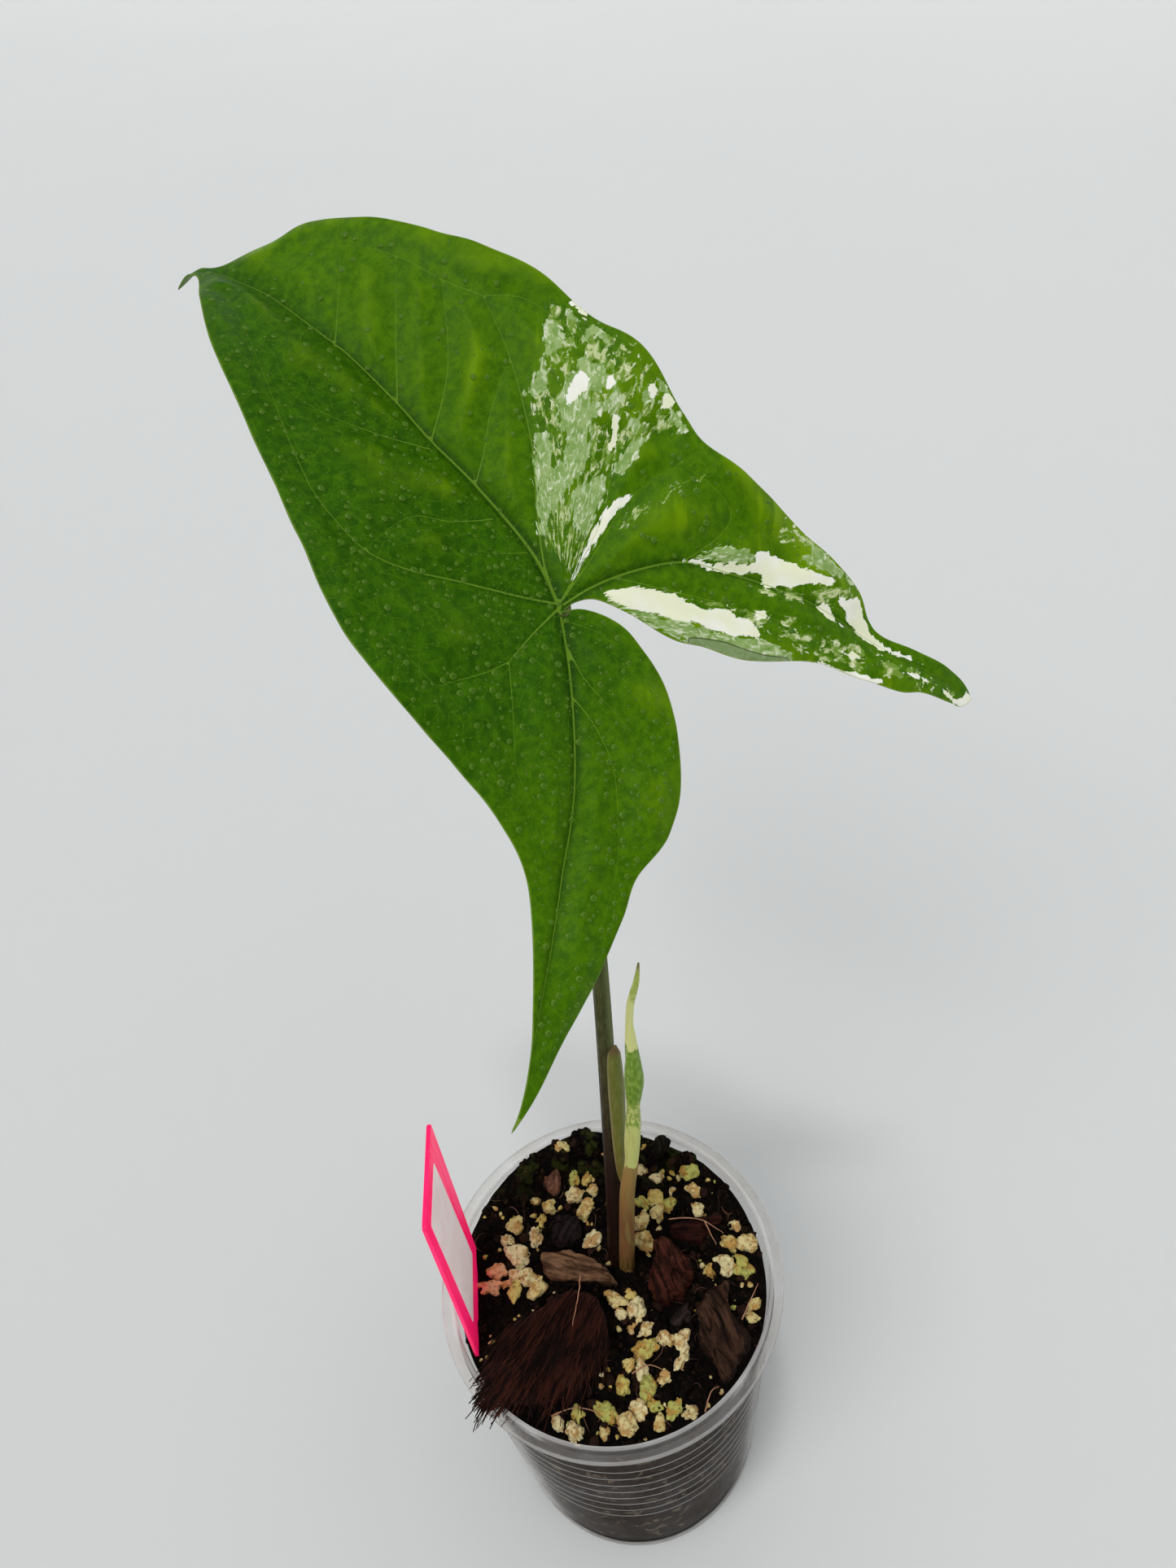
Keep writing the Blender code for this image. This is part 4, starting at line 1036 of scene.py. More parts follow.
def flat_blade():
    """The flattened blade as triangles that follow its margin and its veins."""
    margin = blade_margin(BLADE_SPACING)
    low, high = margin.min(axis=0), margin.max(axis=0)
    columns = np.arange(low[0], high[0], BLADE_SPACING)
    rows = np.arange(low[1], high[1], BLADE_SPACING * 0.866)
    x, y = np.meshgrid(columns, rows)
    x[1::2] += 0.5 * BLADE_SPACING
    grid = np.column_stack((x.ravel(), y.ravel()))
    grid = grid[signed_distance(grid, margin[::2]) > 0.25 * BLADE_SPACING]
    lines = [even_points(vein[-1], BLADE_SPACING) for vein in VEINS]
    grid = grid[gap_to(np.vstack([margin, *lines]), grid) > 0.55 * BLADE_SPACING]
    points = [margin]
    edges = [(i, (i + 1) % len(margin)) for i in range(len(margin))]
    start = len(margin)
    for line in lines:
        line = line[signed_distance(line, margin) > 0.5 * BLADE_SPACING]
        points.append(line)
        edges += [(start + i, start + i + 1) for i in range(len(line) - 1)]
        start += len(line)
    points = np.vstack([*points, grid])
    flat, _, faces, _, _, _ = geometry.delaunay_2d_cdt([Vector(p) for p in points], edges, [], 1, 1e-5)
    return np.array([tuple(p) for p in flat]), [tuple(face) for face in faces]


def corner_normals(corners, faces):
    triangles = np.array(faces)
    a, b, c = (corners[triangles[:, i]] for i in range(3))
    face_normals = np.cross(b - a, c - a)
    normals = np.zeros_like(corners)
    for i in range(3):
        np.add.at(normals, triangles[:, i], face_normals)
    return normals / np.linalg.norm(normals, axis=1)[:, None]


def border_edges(faces):
    """The directed edges that only one face has, with the face on their left."""
    directed = {(face[i], face[(i + 1) % 3]) for face in faces for i in range(3)}
    return [edge for edge in directed if edge[::-1] not in directed]


def build_leaf():
    """The open leaf: quilted between its veins, thin at the margin, ribbed beneath."""
    flat, faces = flat_blade()
    count = len(flat)
    level = np.column_stack((flat, np.zeros(count)))
    inset = gap_to(blade_margin(0.15), flat)
    away, clear, groove, trough, rib = vein_fields(flat)
    places = blade_places(flat)
    normals = corner_normals(places, faces)
    if normals[:, 2].mean() < 0:
        faces = [face[::-1] for face in faces]
        normals = -normals
    firm = np.clip(inset / 3.0, 0.0, 1.0)
    quilt = 1 - np.exp(-(away / QUILT_REACH) ** 2)
    lumps = rough_field(level, 7.0, 2.0)
    wrinkles = rough_field(level, 2.2, 6.0)
    relief = QUILT_HEIGHT * quilt * (1 + 0.6 * lumps) * firm + WRINKLE_HEIGHT * wrinkles * firm
    relief -= groove * MM * np.clip(inset / 1.5, 0.0, 1.0) + trough * MM * firm
    edge_lumps = rough_field(level, 6.0, 9.0)
    relief += RIPPLE_HEIGHT * edge_lumps * np.exp(-(inset / 4.0) ** 2)
    curled = patch_depth(flat, CURLED_MARGIN)
    relief -= CURLED_SINK * np.clip(curled, 0.0, 2.0)
    thickness = MARGIN_THICKNESS + (BLADE_THICKNESS - MARGIN_THICKNESS) * np.clip(inset / 1.2, 0.0, 1.0)
    upper = places + normals * relief[:, None]
    lower = upper - normals * (thickness + rib * MM * np.clip(inset, 0.0, 1.0))[:, None]
    borders = border_edges(faces)
    after = dict(borders)
    before = {b: a for a, b in borders}
    ring = {corner: 2 * count + i for i, corner in enumerate(after)}
    outward = np.array([np.cross(upper[after[c]] - upper[before[c]], normals[c]) for c in after])
    outward /= np.linalg.norm(outward, axis=1)[:, None]
    rims = list(after)
    edge = 0.5 * (upper[rims] + lower[rims]) + outward * 0.45 * MARGIN_THICKNESS
    all_faces = faces + [tuple(i + count for i in face[::-1]) for face in faces]
    for a, b in borders:
        all_faces.append((b, a, ring[a], ring[b]))
        all_faces.append((ring[b], ring[a], a + count, b + count))
    mesh = plain_mesh("open_leaf", np.vstack((upper, lower, edge)), all_faces)
    turn = np.arctan2(flat[:, 0], flat[:, 1])
    reach = np.hypot(flat[:, 0], flat[:, 1])
    sage = np.minimum(patch_depth(flat, SAGE_PATCHES), -patch_depth(flat, GREEN_ISLANDS))
    fields = {
        "vein": clear,
        "inset": inset,
        # The quilt field is weighted towards the right half, so that its painted highlights are stronger on
        # the lit side.
        "quilt": quilt * (0.75 + 0.5 * lumps) * np.clip(0.72 + flat[:, 0] / 60, 0.3, 1.0),
        "groove": np.clip(1.6 * groove + 1.1 * trough, 0.0, 1.0),
        "sage": sage,
        "cream": patch_depth(flat, CREAM_PATCHES),
        "fleck": patch_depth(flat, FLECKED_AREAS),
        "curled": curled,
        "flat": level,
        "streak": np.column_stack((turn * 22.0, reach * 0.32, np.zeros(count))),
    }
    for name, values in fields.items():
        store(mesh, name, np.concatenate((values, values, values[rims])))
    store(mesh, "under", np.concatenate((np.zeros(count), np.ones(count), np.full(len(rims), 0.3))))
    add_piece(mesh, leaf_skin(), "leaf_blade")
    bare = (inset > 0.8) & (np.maximum(sage, fields["cream"]) < -0.6)
    return flat, upper, normals, bare


def leaf_skin():
    """Mottled green, with pale veins, and ragged pale green and cream markings on the right half; painted
    light and shade too: a lighter right half and lobes, painted highlights on the puffed areas between the
    veins, and painted shade in the grooves and along the curled fold.
    """
    look = Finish("leaf_skin", Specular_IOR_Level=0.06)
    flat = look.stored("flat", "Vector")
    streak = look.stored("streak", "Vector")
    broad = look.noise(flat, 0.10, 2.0)
    mottle = look.noise(flat, 0.55, 4.0, 0.65)
    fine = look.noise(flat, 2.6, 3.0, 0.6)
    sides = look.part_of(flat, "X")
    along = look.part_of(flat, "Y")
    # Painted light: the right half and the lobes get a lighter green, for the side that faces the light.
    right = look.maths("MAXIMUM", look.ramp(sides, -1.0, 7.0), look.ramp(along, -6.0, -22.0, 0.0, 0.8))
    colour = look.blend(look.ramp(mottle, 0.35, 0.66), (40, 84, 0), (60, 106, 0))
    painted_lit_green = look.blend(look.ramp(mottle, 0.32, 0.70), (58, 102, 0), (82, 126, 0))
    colour = look.blend(right, colour, painted_lit_green)
    # Painted highlights: the puffed areas between the veins are lightened in slanting strips and broad
    # patches, where their bulges catch the light.
    leaning = look.leaning(flat, -0.87)
    painted_light_strips = look.noise(look.scaled(leaning, (0.2, 1.0, 1.0)), 0.32, 2.0, 0.5)
    lit = look.maths("MAXIMUM", look.ramp(broad, 0.38, 0.62, 0.3, 1.0), look.ramp(painted_light_strips, 0.44, 0.58))
    quilt = look.times(look.ramp(look.stored("quilt"), 0.2, 0.95), lit)
    colour = look.blend(look.times(quilt, 0.95), colour, (116, 154, 0))
    # Painted shade in the grooves and troughs along the veins.
    colour = look.over(colour, (20, 58, 0), look.stored("groove"), 0.12, 0.9, 0.65)
    colour = look.over(colour, (116, 156, 10), fine, 0.58, 0.75, 0.3)
    net = look.ramp(look.cell_edges(flat, 0.42), 0.0, 0.04, 0.2, 0.0)
    colour = look.blend(net, colour, (104, 148, 16))
    ragged = look.noise(streak, 0.95, 7.0, 0.66, 0.5)
    dabs = look.noise(streak, 1.9, 5.0, 0.6, 0.8)
    rough_push = look.plus(look.swing(ragged, 3.6), look.swing(dabs, 2.2))
    zone = look.ramp(look.stored("fleck"), -0.8, 1.8)
    near = look.plus(ragged, look.times(zone, 0.18))
    flecks = look.times(look.ramp(near, 0.675, 0.70), look.ramp(zone, 0.0, 0.1))
    fleck_colour = look.blend(look.ramp(dabs, 0.47, 0.56), (118, 152, 54), (196, 208, 150))
    colour = look.blend(flecks, colour, fleck_colour)
    sparks = look.times(look.ramp(dabs, 0.625, 0.64), look.ramp(zone, 0.2, 0.7))
    colour = look.blend(sparks, colour, (222, 230, 190))
    sage = look.ramp(look.plus(look.stored("sage"), rough_push), -0.03, 0.05)
    sage_colour = look.blend(look.ramp(mottle, 0.40, 0.60), (130, 164, 84), (158, 184, 116))
    sage_colour = look.over(sage_colour, (204, 218, 176), dabs, 0.53, 0.58, 0.8)
    sage_colour = look.over(sage_colour, (236, 240, 220), dabs, 0.64, 0.66)
    colour = look.blend(sage, colour, sage_colour)
    cream_push = look.times(rough_push, 0.62)
    cream = look.ramp(look.plus(look.stored("cream"), cream_push), -0.03, 0.05)
    cream_colour = look.blend(look.ramp(broad, 0.4, 0.6), (252, 252, 242), (244, 246, 214))
    colour = look.blend(cream, colour, cream_colour)
    vein = look.ramp(look.stored("vein"), -0.14, -0.02, 0.6, 0.0)
    colour = look.blend(vein, colour, (120, 158, 44))
    curled = look.stored("curled")
    colour = look.over(colour, (134, 156, 108), curled, 0.0, 0.1, 0.8)
    # Painted shade: a dark line along the fold at the edge of the curled margin.
    crease = look.band(curled, -0.12, -0.04, 0.04, 0.14)
    colour = look.blend(look.times(crease, 0.8), colour, (58, 66, 26))
    margin = look.ramp(look.stored("inset"), 0.04, 0.14, 0.3, 0.0)
    colour = look.blend(margin, colour, (170, 196, 90))
    under = look.stored("under")
    beneath = look.blend(0.62, colour, (116, 142, 88))
    beneath = look.blend(look.ramp(look.stored("vein"), -0.1, 0.15, 0.6, 0.0), beneath, (142, 168, 102))
    colour = look.over(colour, beneath, under, 0.45, 0.6)
    rough = look.ramp(mottle, 0.3, 0.7, 0.40, 0.52)
    height = look.plus(fine, look.times(look.noise(flat, 9.0, 2.0), 0.5))
    return look.done(Base_Color=colour, Roughness=rough, Normal=look.bump(height, 0.00005, 0.7))


def build_droplets(flat, upper, normals, bare):
    """Fine water drops on the upper face, thickest on the left half and its lobe."""
    draw = random.Random(DROPLET_SEED)
    heap = Heap()
    tilts = np.radians((32, 62, 88, 118))
    cap, faces = turned([(0.0, 1.0), *[(math.sin(t), math.cos(t)) for t in tilts], (0.0, -0.5)], 9)
    # Distance from each cap's axis: the water lightens it into a painted bright ring.
    crown = np.hypot(cap[:, 0], cap[:, 1])
    placed = []
    while len(placed) < DROPLET_COUNT:
        i = draw.randrange(len(flat))
        across, along = flat[i]
        size = DROPLET_SMALL + (DROPLET_LARGE - DROPLET_SMALL) * draw.random() ** 2.2
        chance = 1.0 if across < 2 else 0.3
        chance *= 1.0 if along < 30 else 0.55
        crowded = any(abs(across - x) + abs(along - y) < 1000 * (size + s) * 1.3 for x, y, s in placed)
        if draw.random() > chance or not bare[i] or crowded:
            continue
        placed.append((across, along, size))
        turn = Vector((0, 0, 1)).rotation_difference(Vector(normals[i])).to_matrix()
        shape = cap * (size * draw.uniform(0.9, 1.15), size, size * draw.uniform(0.45, 0.62))
        heap.add(shape @ np.array(turn).T + upper[i], faces, crown)
    heap.piece("water_drops", water(), "leaf_blade")


def water():
    """Water on a leaf, a half-clear green painted a little lighter than the skin, with a painted bright ring
    round each drop where light bends through it.
    """
    look = Finish("water", Roughness=0.18, Specular_IOR_Level=0.32, Alpha=0.55)
    ripple = look.noise(look.place(), 900.0, 1.0)
    # Painted highlight: lighter than the skin, most of all in a bright ring round each drop.
    colour = look.blend(look.ramp(look.stored("tint"), 0.35, 0.85), (80, 130, 10), (112, 154, 40))
    return look.done(Base_Color=colour, Normal=look.bump(ripple, 0.00001, 0.3))


def build_stalk():
    """The open leaf's stalk, faintly grooved along its length and swollen where it meets the blade."""
    rows = even_points(STALK_PATH, 1.2 * COARSE) * MM
    share = np.linspace(0.0, 1.0, len(rows))
    radii = STALK_FOOT_RADIUS + (STALK_TOP_RADIUS - STALK_FOOT_RADIUS) * share
    radii += 0.00025 * np.exp(-((1 - share) / 0.02) ** 2) + 0.0002 * np.exp(-((share - 0.075) / 0.05) ** 2)
    sides = 36
    corners, faces = swept(rows, radii, sides)
    groove = 1 - 0.03 * np.cos(np.arange(sides) / sides * math.tau * 9)
    body = fluted(corners, rows, sides, groove[None, :, None])
    mesh = plain_mesh("stalk", corners, faces)
    # How far each corner lies to the right of the path, which the skin lightens as painted light.
    side = (body[:, :, 0] - rows[:, None, 0]) / radii[:, None]
    store(mesh, "side", np.concatenate((side.ravel(), (0.0, 0.0))))
    add_piece(mesh, stalk_skin(), "leaf_stalk")


def stalk_skin():
    """Dark olive, browner and duller towards the soil, greener near the blade, streaked lengthwise, with
    painted light on its right side above the foot.
    """
    look = Finish("stalk_skin", Specular_IOR_Level=0.2)
    place = look.place()
    height = look.part_of(place)
    streaks = look.noise(look.scaled(place, (1.0, 1.0, 0.06)), 1500.0, 3.0)
    dots = look.noise(look.scaled(place, (1.0, 1.0, 0.5)), 1300.0, 4.0, 0.7)
    low = look.ramp(height, *STALK_OLIVE)
    colour = look.blend(low, (28, 12, 5), (50, 48, 16))
    colour = look.over(colour, (68, 80, 30), height, *STALK_GREEN)
    # Painted light: above the foot, the right side is lighter, for the side that faces the light.
    right = look.times(look.ramp(look.stored("side"), 0.0, 0.9, 0.0, 0.7), low)
    colour = look.blend(right, colour, (108, 120, 72))
    colour = look.blend(look.times(look.ramp(streaks, 0.42, 0.62, 0.1, 0.4), low), colour, (98, 106, 60))
    colour = look.over(colour, (52, 38, 22), dots, 0.58, 0.70, 0.4)
    return look.done(Base_Color=colour, Roughness=look.ramp(dots, 0.3, 0.7, 0.42, 0.6),
                     Normal=look.bump(streaks, 0.00012, 0.7))


def build_sheath():
    """The sheath that clasps the stalk: a curved strip with thin pale edges and a blunt free tip."""
    rows = even_points(SHEATH_PATH, 0.6 * COARSE) * MM
    rows, half = rows[:, :3], rows[:, 3]
    count = len(rows)
    half = half * np.sqrt(np.clip(np.linspace(1.0, 0.0, count) / 0.05, 0.12, 1.0))
    across = np.linspace(-1.0, 1.0, 25)
    along = np.gradient(rows, axis=0)
    along /= np.linalg.norm(along, axis=1)[:, None]
    right = np.cross(along, (0.0, -1.0, 0.0))
    right /= -np.linalg.norm(right, axis=1)[:, None]
    front = np.cross(right, along)
    front *= np.sign(-front[:, 1])[:, None]
    sheets = []
    for depth in (0.0, SHEATH_THICKNESS):
        for u in across:
            bulge = half * 0.72 * (1 - u * u) - 0.00015 * math.exp(-((abs(u) - 0.93) / 0.05) ** 2)
            thin = depth * (1 - 0.55 * abs(u) ** 3)
            sheets.append(rows + right * (half * u)[:, None] + front * (bulge - thin)[:, None])
    grid = np.array(sheets)
    wide = len(across)
    corners = grid.transpose(1, 0, 2).reshape(-1, 3)
    order = list(range(wide)) + list(range(2 * wide - 1, wide - 1, -1))
    loop = np.array([[row * 2 * wide + i for i in order] for row in range(count)])
    faces = []
    for low, high in zip(loop, loop[1:]):
        for i in range(2 * wide):
            j = (i + 1) % (2 * wide)
            faces.append((int(low[i]), int(low[j]), int(high[j]), int(high[i])))
    faces.append(tuple(int(i) for i in loop[0][::-1]))
    faces.append(tuple(int(i) for i in loop[-1]))
    mesh = plain_mesh("stalk_sheath", corners, faces)
    store(mesh, "edge", np.tile(np.abs(np.concatenate((across, across))), count))
    mend_normals(mesh)
    add_piece(mesh, sheath_skin(), "leaf_stalk")


def mend_normals(mesh):
    work = bmesh.new()
    work.from_mesh(mesh)
    bmesh.ops.recalc_face_normals(work, faces=work.faces)
    work.to_mesh(mesh)
    work.free()


def sheath_skin():
    look = Finish("sheath_skin", Specular_IOR_Level=0.25, Roughness=0.45)
    place = look.place()
    height = look.part_of(place)
    streaks = look.noise(look.scaled(place, (1.0, 1.0, 0.05)), 1500.0, 3.0)
    colour = look.blend(look.ramp(height, *SHEATH_OLIVE), (112, 96, 44), (98, 106, 34))
    colour = look.over(colour, (122, 124, 60), streaks, 0.4, 0.65, 0.6)
    edge = look.ramp(look.stored("edge"), 0.70, 0.90)
    colour = look.blend(look.times(edge, 0.75), colour, (142, 136, 96))
    tip = look.ramp(height, *SHEATH_TIP)
    colour = look.blend(look.times(tip, 0.8), colour, (96, 74, 48))
    return look.done(Base_Color=colour, Normal=look.bump(streaks, 0.0001, 0.7))


def build_new_leaf():
    """The new leaf: a short stalk that turns into a rolled blade with the edge of the roll showing."""
    rows = even_points(NEW_LEAF_PATH, 0.7 * COARSE)
    path, radii = rows[:, :3] * MM, rows[:, 3] * MM
    sides = 44
    corners, faces = swept(path, radii, sides)
    turns = np.arange(sides) / sides
    above = path[:, 2] - ROLL_START
    rolled = np.clip(above / ROLL_EASE, 0.0, 1.0)
    twist = above / 0.060
    spiral = (turns[None, :] - twist[:, None] + 0.30) % 1.0
    step = 1 - rolled[:, None] * (0.24 * spiral - 0.06)
    pleat = 1 + 0.015 * np.cos(turns * math.tau * 13)[None, :]
    fluted(corners, path, sides, (step * pleat)[:, :, None])
    mesh = plain_mesh("new_leaf_roll", corners, faces)
    store(mesh, "spiral", np.concatenate((spiral.ravel(), (0.5, 0.5))))
    add_piece(mesh, new_leaf_skin(), "new_leaf")


def bent_line(x, y, heading, bend, length):
    """Seven places on a line that turns as it goes, each with its share of the way."""
    for share in np.linspace(0.0, 1.0, 7):
        turn = heading + bend * share
        yield share, x + length * share * math.cos(turn), y + length * share * math.sin(turn)


def new_leaf_skin():
    """Tan stalk with a greenish foot, then a cream roll with green and speckled bands."""
    look = Finish("new_leaf_skin", Specular_IOR_Level=0.25, Roughness=0.45)
    place = look.place()
    height = look.part_of(place)
    wobble = look.noise(look.scaled(place, (1.0, 1.0, 0.35)), 420.0, 3.0, 0.6)
    level = look.plus(height, look.swing(wobble, 0.012))
    streaks = look.noise(look.scaled(place, (1.0, 1.0, 0.07)), 1400.0, 3.0)
    specks = look.noise(look.scaled(place, (1.0, 1.0, 0.4)), 1700.0, 4.0, 0.7)
    colour = look.blend(look.ramp(height, *ROLL_FOOT), (88, 64, 22), (122, 84, 52))
    colour = look.over(colour, (152, 122, 66), height, *ROLL_TAN)
    colour = look.over(colour, (108, 78, 46), streaks, 0.45, 0.65, 0.45)
    colour = look.over(colour, (196, 202, 118), level, *ROLL_PALE)
    colour = look.over(colour, (160, 156, 84), streaks, 0.48, 0.65, 0.3)
    green = look.blend(look.ramp(specks, 0.42, 0.6), (98, 136, 24), (134, 164, 58))
    marbled = look.times(look.ramp(level, *ROLL_MARBLED), look.ramp(specks, 0.47, 0.52))
    colour = look.blend(marbled, colour, green)
    band = look.band(level, *ROLL_GREEN)
    colour = look.blend(band, colour, green)
    above = look.ramp(level, *ROLL_CREAM)
    colour = look.blend(above, colour, (218, 222, 142))
    flecked = look.times(look.ramp(level, *ROLL_FLECKED), look.ramp(specks, 0.42, 0.52, 0.3, 0.9))
    colour = look.blend(flecked, colour, (156, 176, 74))
    seam = look.ramp(look.stored("spiral"), 0.0, 0.05, 0.7, 0.0)
    rolled = look.ramp(height, ROLL_START, ROLL_START + ROLL_EASE)
    colour = look.blend(look.times(seam, rolled), colour, (236, 240, 196))
    tip = look.ramp(height, *ROLL_TIP)
    colour = look.blend(tip, colour, (120, 110, 60))
    return look.done(Base_Color=colour, Normal=look.bump(streaks, 0.00008, 0.6))


def build_card():
    """The card: a plate with eased edges and small round corners, and a bare pale label on one face."""
    plate = rounded(CARD_OUTLINE, 0.9)
    solid_plate("plant_label", plate, CARD_X - 0.5 * CARD_THICKNESS, CARD_X + 0.5 * CARD_THICKNESS, 0.00016,
                pink_plastic(), "plant_card")
    label = rounded(LABEL_OUTLINE, 0.7)
    face = CARD_X + 0.5 * CARD_THICKNESS
    back = face - LABEL_SUNK
    solid_plate("label_paper", label, back, face + LABEL_THICKNESS, 0.00002, label_paper(), "plant_card")


def rounded(outline, radius):
    """An outline with each corner replaced by a short arc."""
    result = []
    count = len(outline)
    for i, corner in enumerate(outline):
        here = np.array(corner, float)
        back = np.array(outline[i - 1]) - here
        ahead = np.array(outline[(i + 1) % count]) - here
        start = here + back / np.linalg.norm(back) * radius
        end = here + ahead / np.linalg.norm(ahead) * radius
        for share in np.linspace(0.0, 1.0, 7):
            result.append((1 - share) ** 2 * start + 2 * share * (1 - share) * here + share ** 2 * end)
    return np.array(result)


def solid_plate(name, outline, back, front, bevel, material, node):
    """A flat plate across X with bevelled edges, between the X of its back and of its front."""
    work = bmesh.new()
    ring = [work.verts.new((back, y * MM, z * MM)) for y, z in outline]
    face = work.faces.new(ring)
    moved = bmesh.ops.extrude_face_region(work, geom=[face])["geom"]
    moved = [item for item in moved if isinstance(item, bmesh.types.BMVert)]
    bmesh.ops.translate(work, vec=(front - back, 0, 0), verts=moved)
    bmesh.ops.recalc_face_normals(work, faces=work.faces)
    rims = [e for e in work.edges if abs(e.verts[0].co.x - e.verts[1].co.x) < 1e-9]
    bmesh.ops.bevel(work, geom=rims, offset=bevel, segments=2, affect="EDGES", profile=0.5)
    bmesh.ops.triangulate(work, faces=work.faces)
    mesh = bpy.data.meshes.new(name)
    work.to_mesh(mesh)
    work.free()
    add_piece(mesh, material, node, sharp=35)


def pink_plastic():
    # The pink glows a little: painted light, brightening the card's face that the lamps leave dim.
    look = Finish("pink_plastic", Specular_IOR_Level=0.3, Emission_Strength=0.4)
    look.feed(look.shader.inputs["Emission Color"], linear(255, 25, 105))
    place = look.place()
    cloud = look.noise(place, 60.0, 3.0)
    scuffs = look.noise(look.scaled(place, (1.0, 1.0, 0.12)), 900.0, 3.0)
    colour = look.blend(look.ramp(cloud, 0.35, 0.7), (255, 14, 92), (255, 44, 118))
    colour = look.over(colour, (255, 120, 160), scuffs, 0.62, 0.72, 0.3)
    # Darker and duller towards the bottom, near the soil.
    darkened_low = look.times(look.ramp(look.part_of(place), *CARD_DARKENING), look.ramp(cloud, 0.4, 0.6, 0.1, 0.7))
    colour = look.blend(darkened_low, colour, (92, 24, 34))
    return look.done(Base_Color=colour, Roughness=look.ramp(scuffs, 0.4, 0.7, 0.38, 0.55),
                     Normal=look.bump(scuffs, 0.00003, 0.5))


def label_paper():
    # The paper glows a little: painted light on the label.
    look = Finish("label_paper", Roughness=0.62, Specular_IOR_Level=0.3, Emission_Strength=0.16)
    look.feed(look.shader.inputs["Emission Color"], linear(240, 214, 214))
    place = look.place()
    cloud = look.noise(place, 140.0, 3.0)
    fibre = look.noise(place, 2600.0, 3.0)
    colour = look.blend(look.ramp(cloud, 0.35, 0.7), (240, 222, 222), (250, 238, 236))
    return look.done(Base_Color=colour, Normal=look.bump(fibre, 0.00002, 0.5))


def slab_mesh(name, outline, top, edge, around, rings):
    """A slab as deep as its solid: rings from the crown out over a round edge, down the side and under."""
    length = np.linalg.norm(np.diff(np.array((*outline, outline[0])), axis=0), axis=1).sum()
    rim = closed_points(outline, length / around)
    middle = rim.mean(axis=0)
    outwards = (rim - middle) / np.linalg.norm(rim - middle, axis=1)[:, None]
    flat = np.column_stack((rim, np.zeros(len(rim))))
    ragged = 0.40 * rough_field(flat, 1.7, top) + 0.20 * rough_field(flat, 0.6, top) - 0.12
    rim = rim + outwards * ragged[:, None]
    away = rim - middle
    reach = np.linalg.norm(away, axis=1)[:, None]
    rows = []
    for share in np.linspace(0.04, 1.0, rings):
        rows.append((middle + away * share * (1 - edge / reach), np.full(len(rim), top)))
    for angle in np.radians(np.linspace(75, 0, 6)):
        inset = edge * (1 - math.cos(angle))
        rows.append((rim - away / reach * inset, np.full(len(rim), top - edge * (1 - math.sin(angle)))))
    for height in np.linspace(top - edge - 0.5, CHUNK_BOTTOM / MM, 7):
        rows.append((rim, np.full(len(rim), height)))
    corners = np.vstack([np.column_stack((flat, level)) for flat, level in rows])
    corners = np.vstack((corners, [(*middle, top)], [(*middle, CHUNK_BOTTOM / MM)])) * MM
    mesh = plain_mesh(name, corners, capped_faces(len(rows), len(rim)))
    mend_normals(mesh)
    return mesh


def push_corners(mesh, depth_of):
    """Push each corner along its normal by the depth that depth_of gives for all places at once."""
    count = len(mesh.vertices)
    places = np.zeros(3 * count)
    mesh.vertices.foreach_get("co", places)
    normals = np.array([tuple(v.vector) for v in mesh.vertex_normals])
    places = places.reshape(-1, 3)
    places = places + normals * depth_of(places)[:, None]
    mesh.vertices.foreach_set("co", places.ravel())
    mesh.update()


def grained(places, degrees, along, across):
    """Places turned and scaled so that noise on them runs in a direction."""
    turn = math.radians(degrees)
    x = places[:, 0] * math.cos(turn) + places[:, 1] * math.sin(turn)
    y = -places[:, 0] * math.sin(turn) + places[:, 1] * math.cos(turn)
    return np.column_stack((x / along, y / across, places[:, 2] / across))


def bark_depth(degrees, seed, strength):
    """Grain ridges, broken layers and fine roughness of a piece of bark."""
    def depth_of(places):
        ridges = rough_field(grained(places, degrees, 0.009, 0.0011), 1.0, seed)
        layers = rough_field(grained(places, degrees, 0.006, 0.0032), 1.0, seed + 3)
        steps = np.tanh(16 * (layers - 0.15)) + np.tanh(16 * (layers + 0.22))
        cracks = np.exp(-(rough_field(grained(places, degrees, 0.008, 0.0024), 1.0, seed + 9) / 0.05) ** 2)
        pocks = rough_field(places, 0.0006, seed + 5)
        return strength * (0.00020 * ridges + 0.00024 * steps - 0.0004 * cracks + 0.00010 * pocks)
    return depth_of


def build_bark():
    for number, (name, (outline, top, edge, degrees)) in enumerate(CHUNKS.items()):
        if name == "coir_chunk":
            continue
        mesh = slab_mesh(name + "_piece", outline, top, edge, int(150 / COARSE), int(30 / COARSE))
        push_corners(mesh, bark_depth(degrees, number * 5.3, 0.8 if name == "bark_long" else 1.3))
        add_piece(mesh, bark_skin(name, degrees), name, sharp=50)


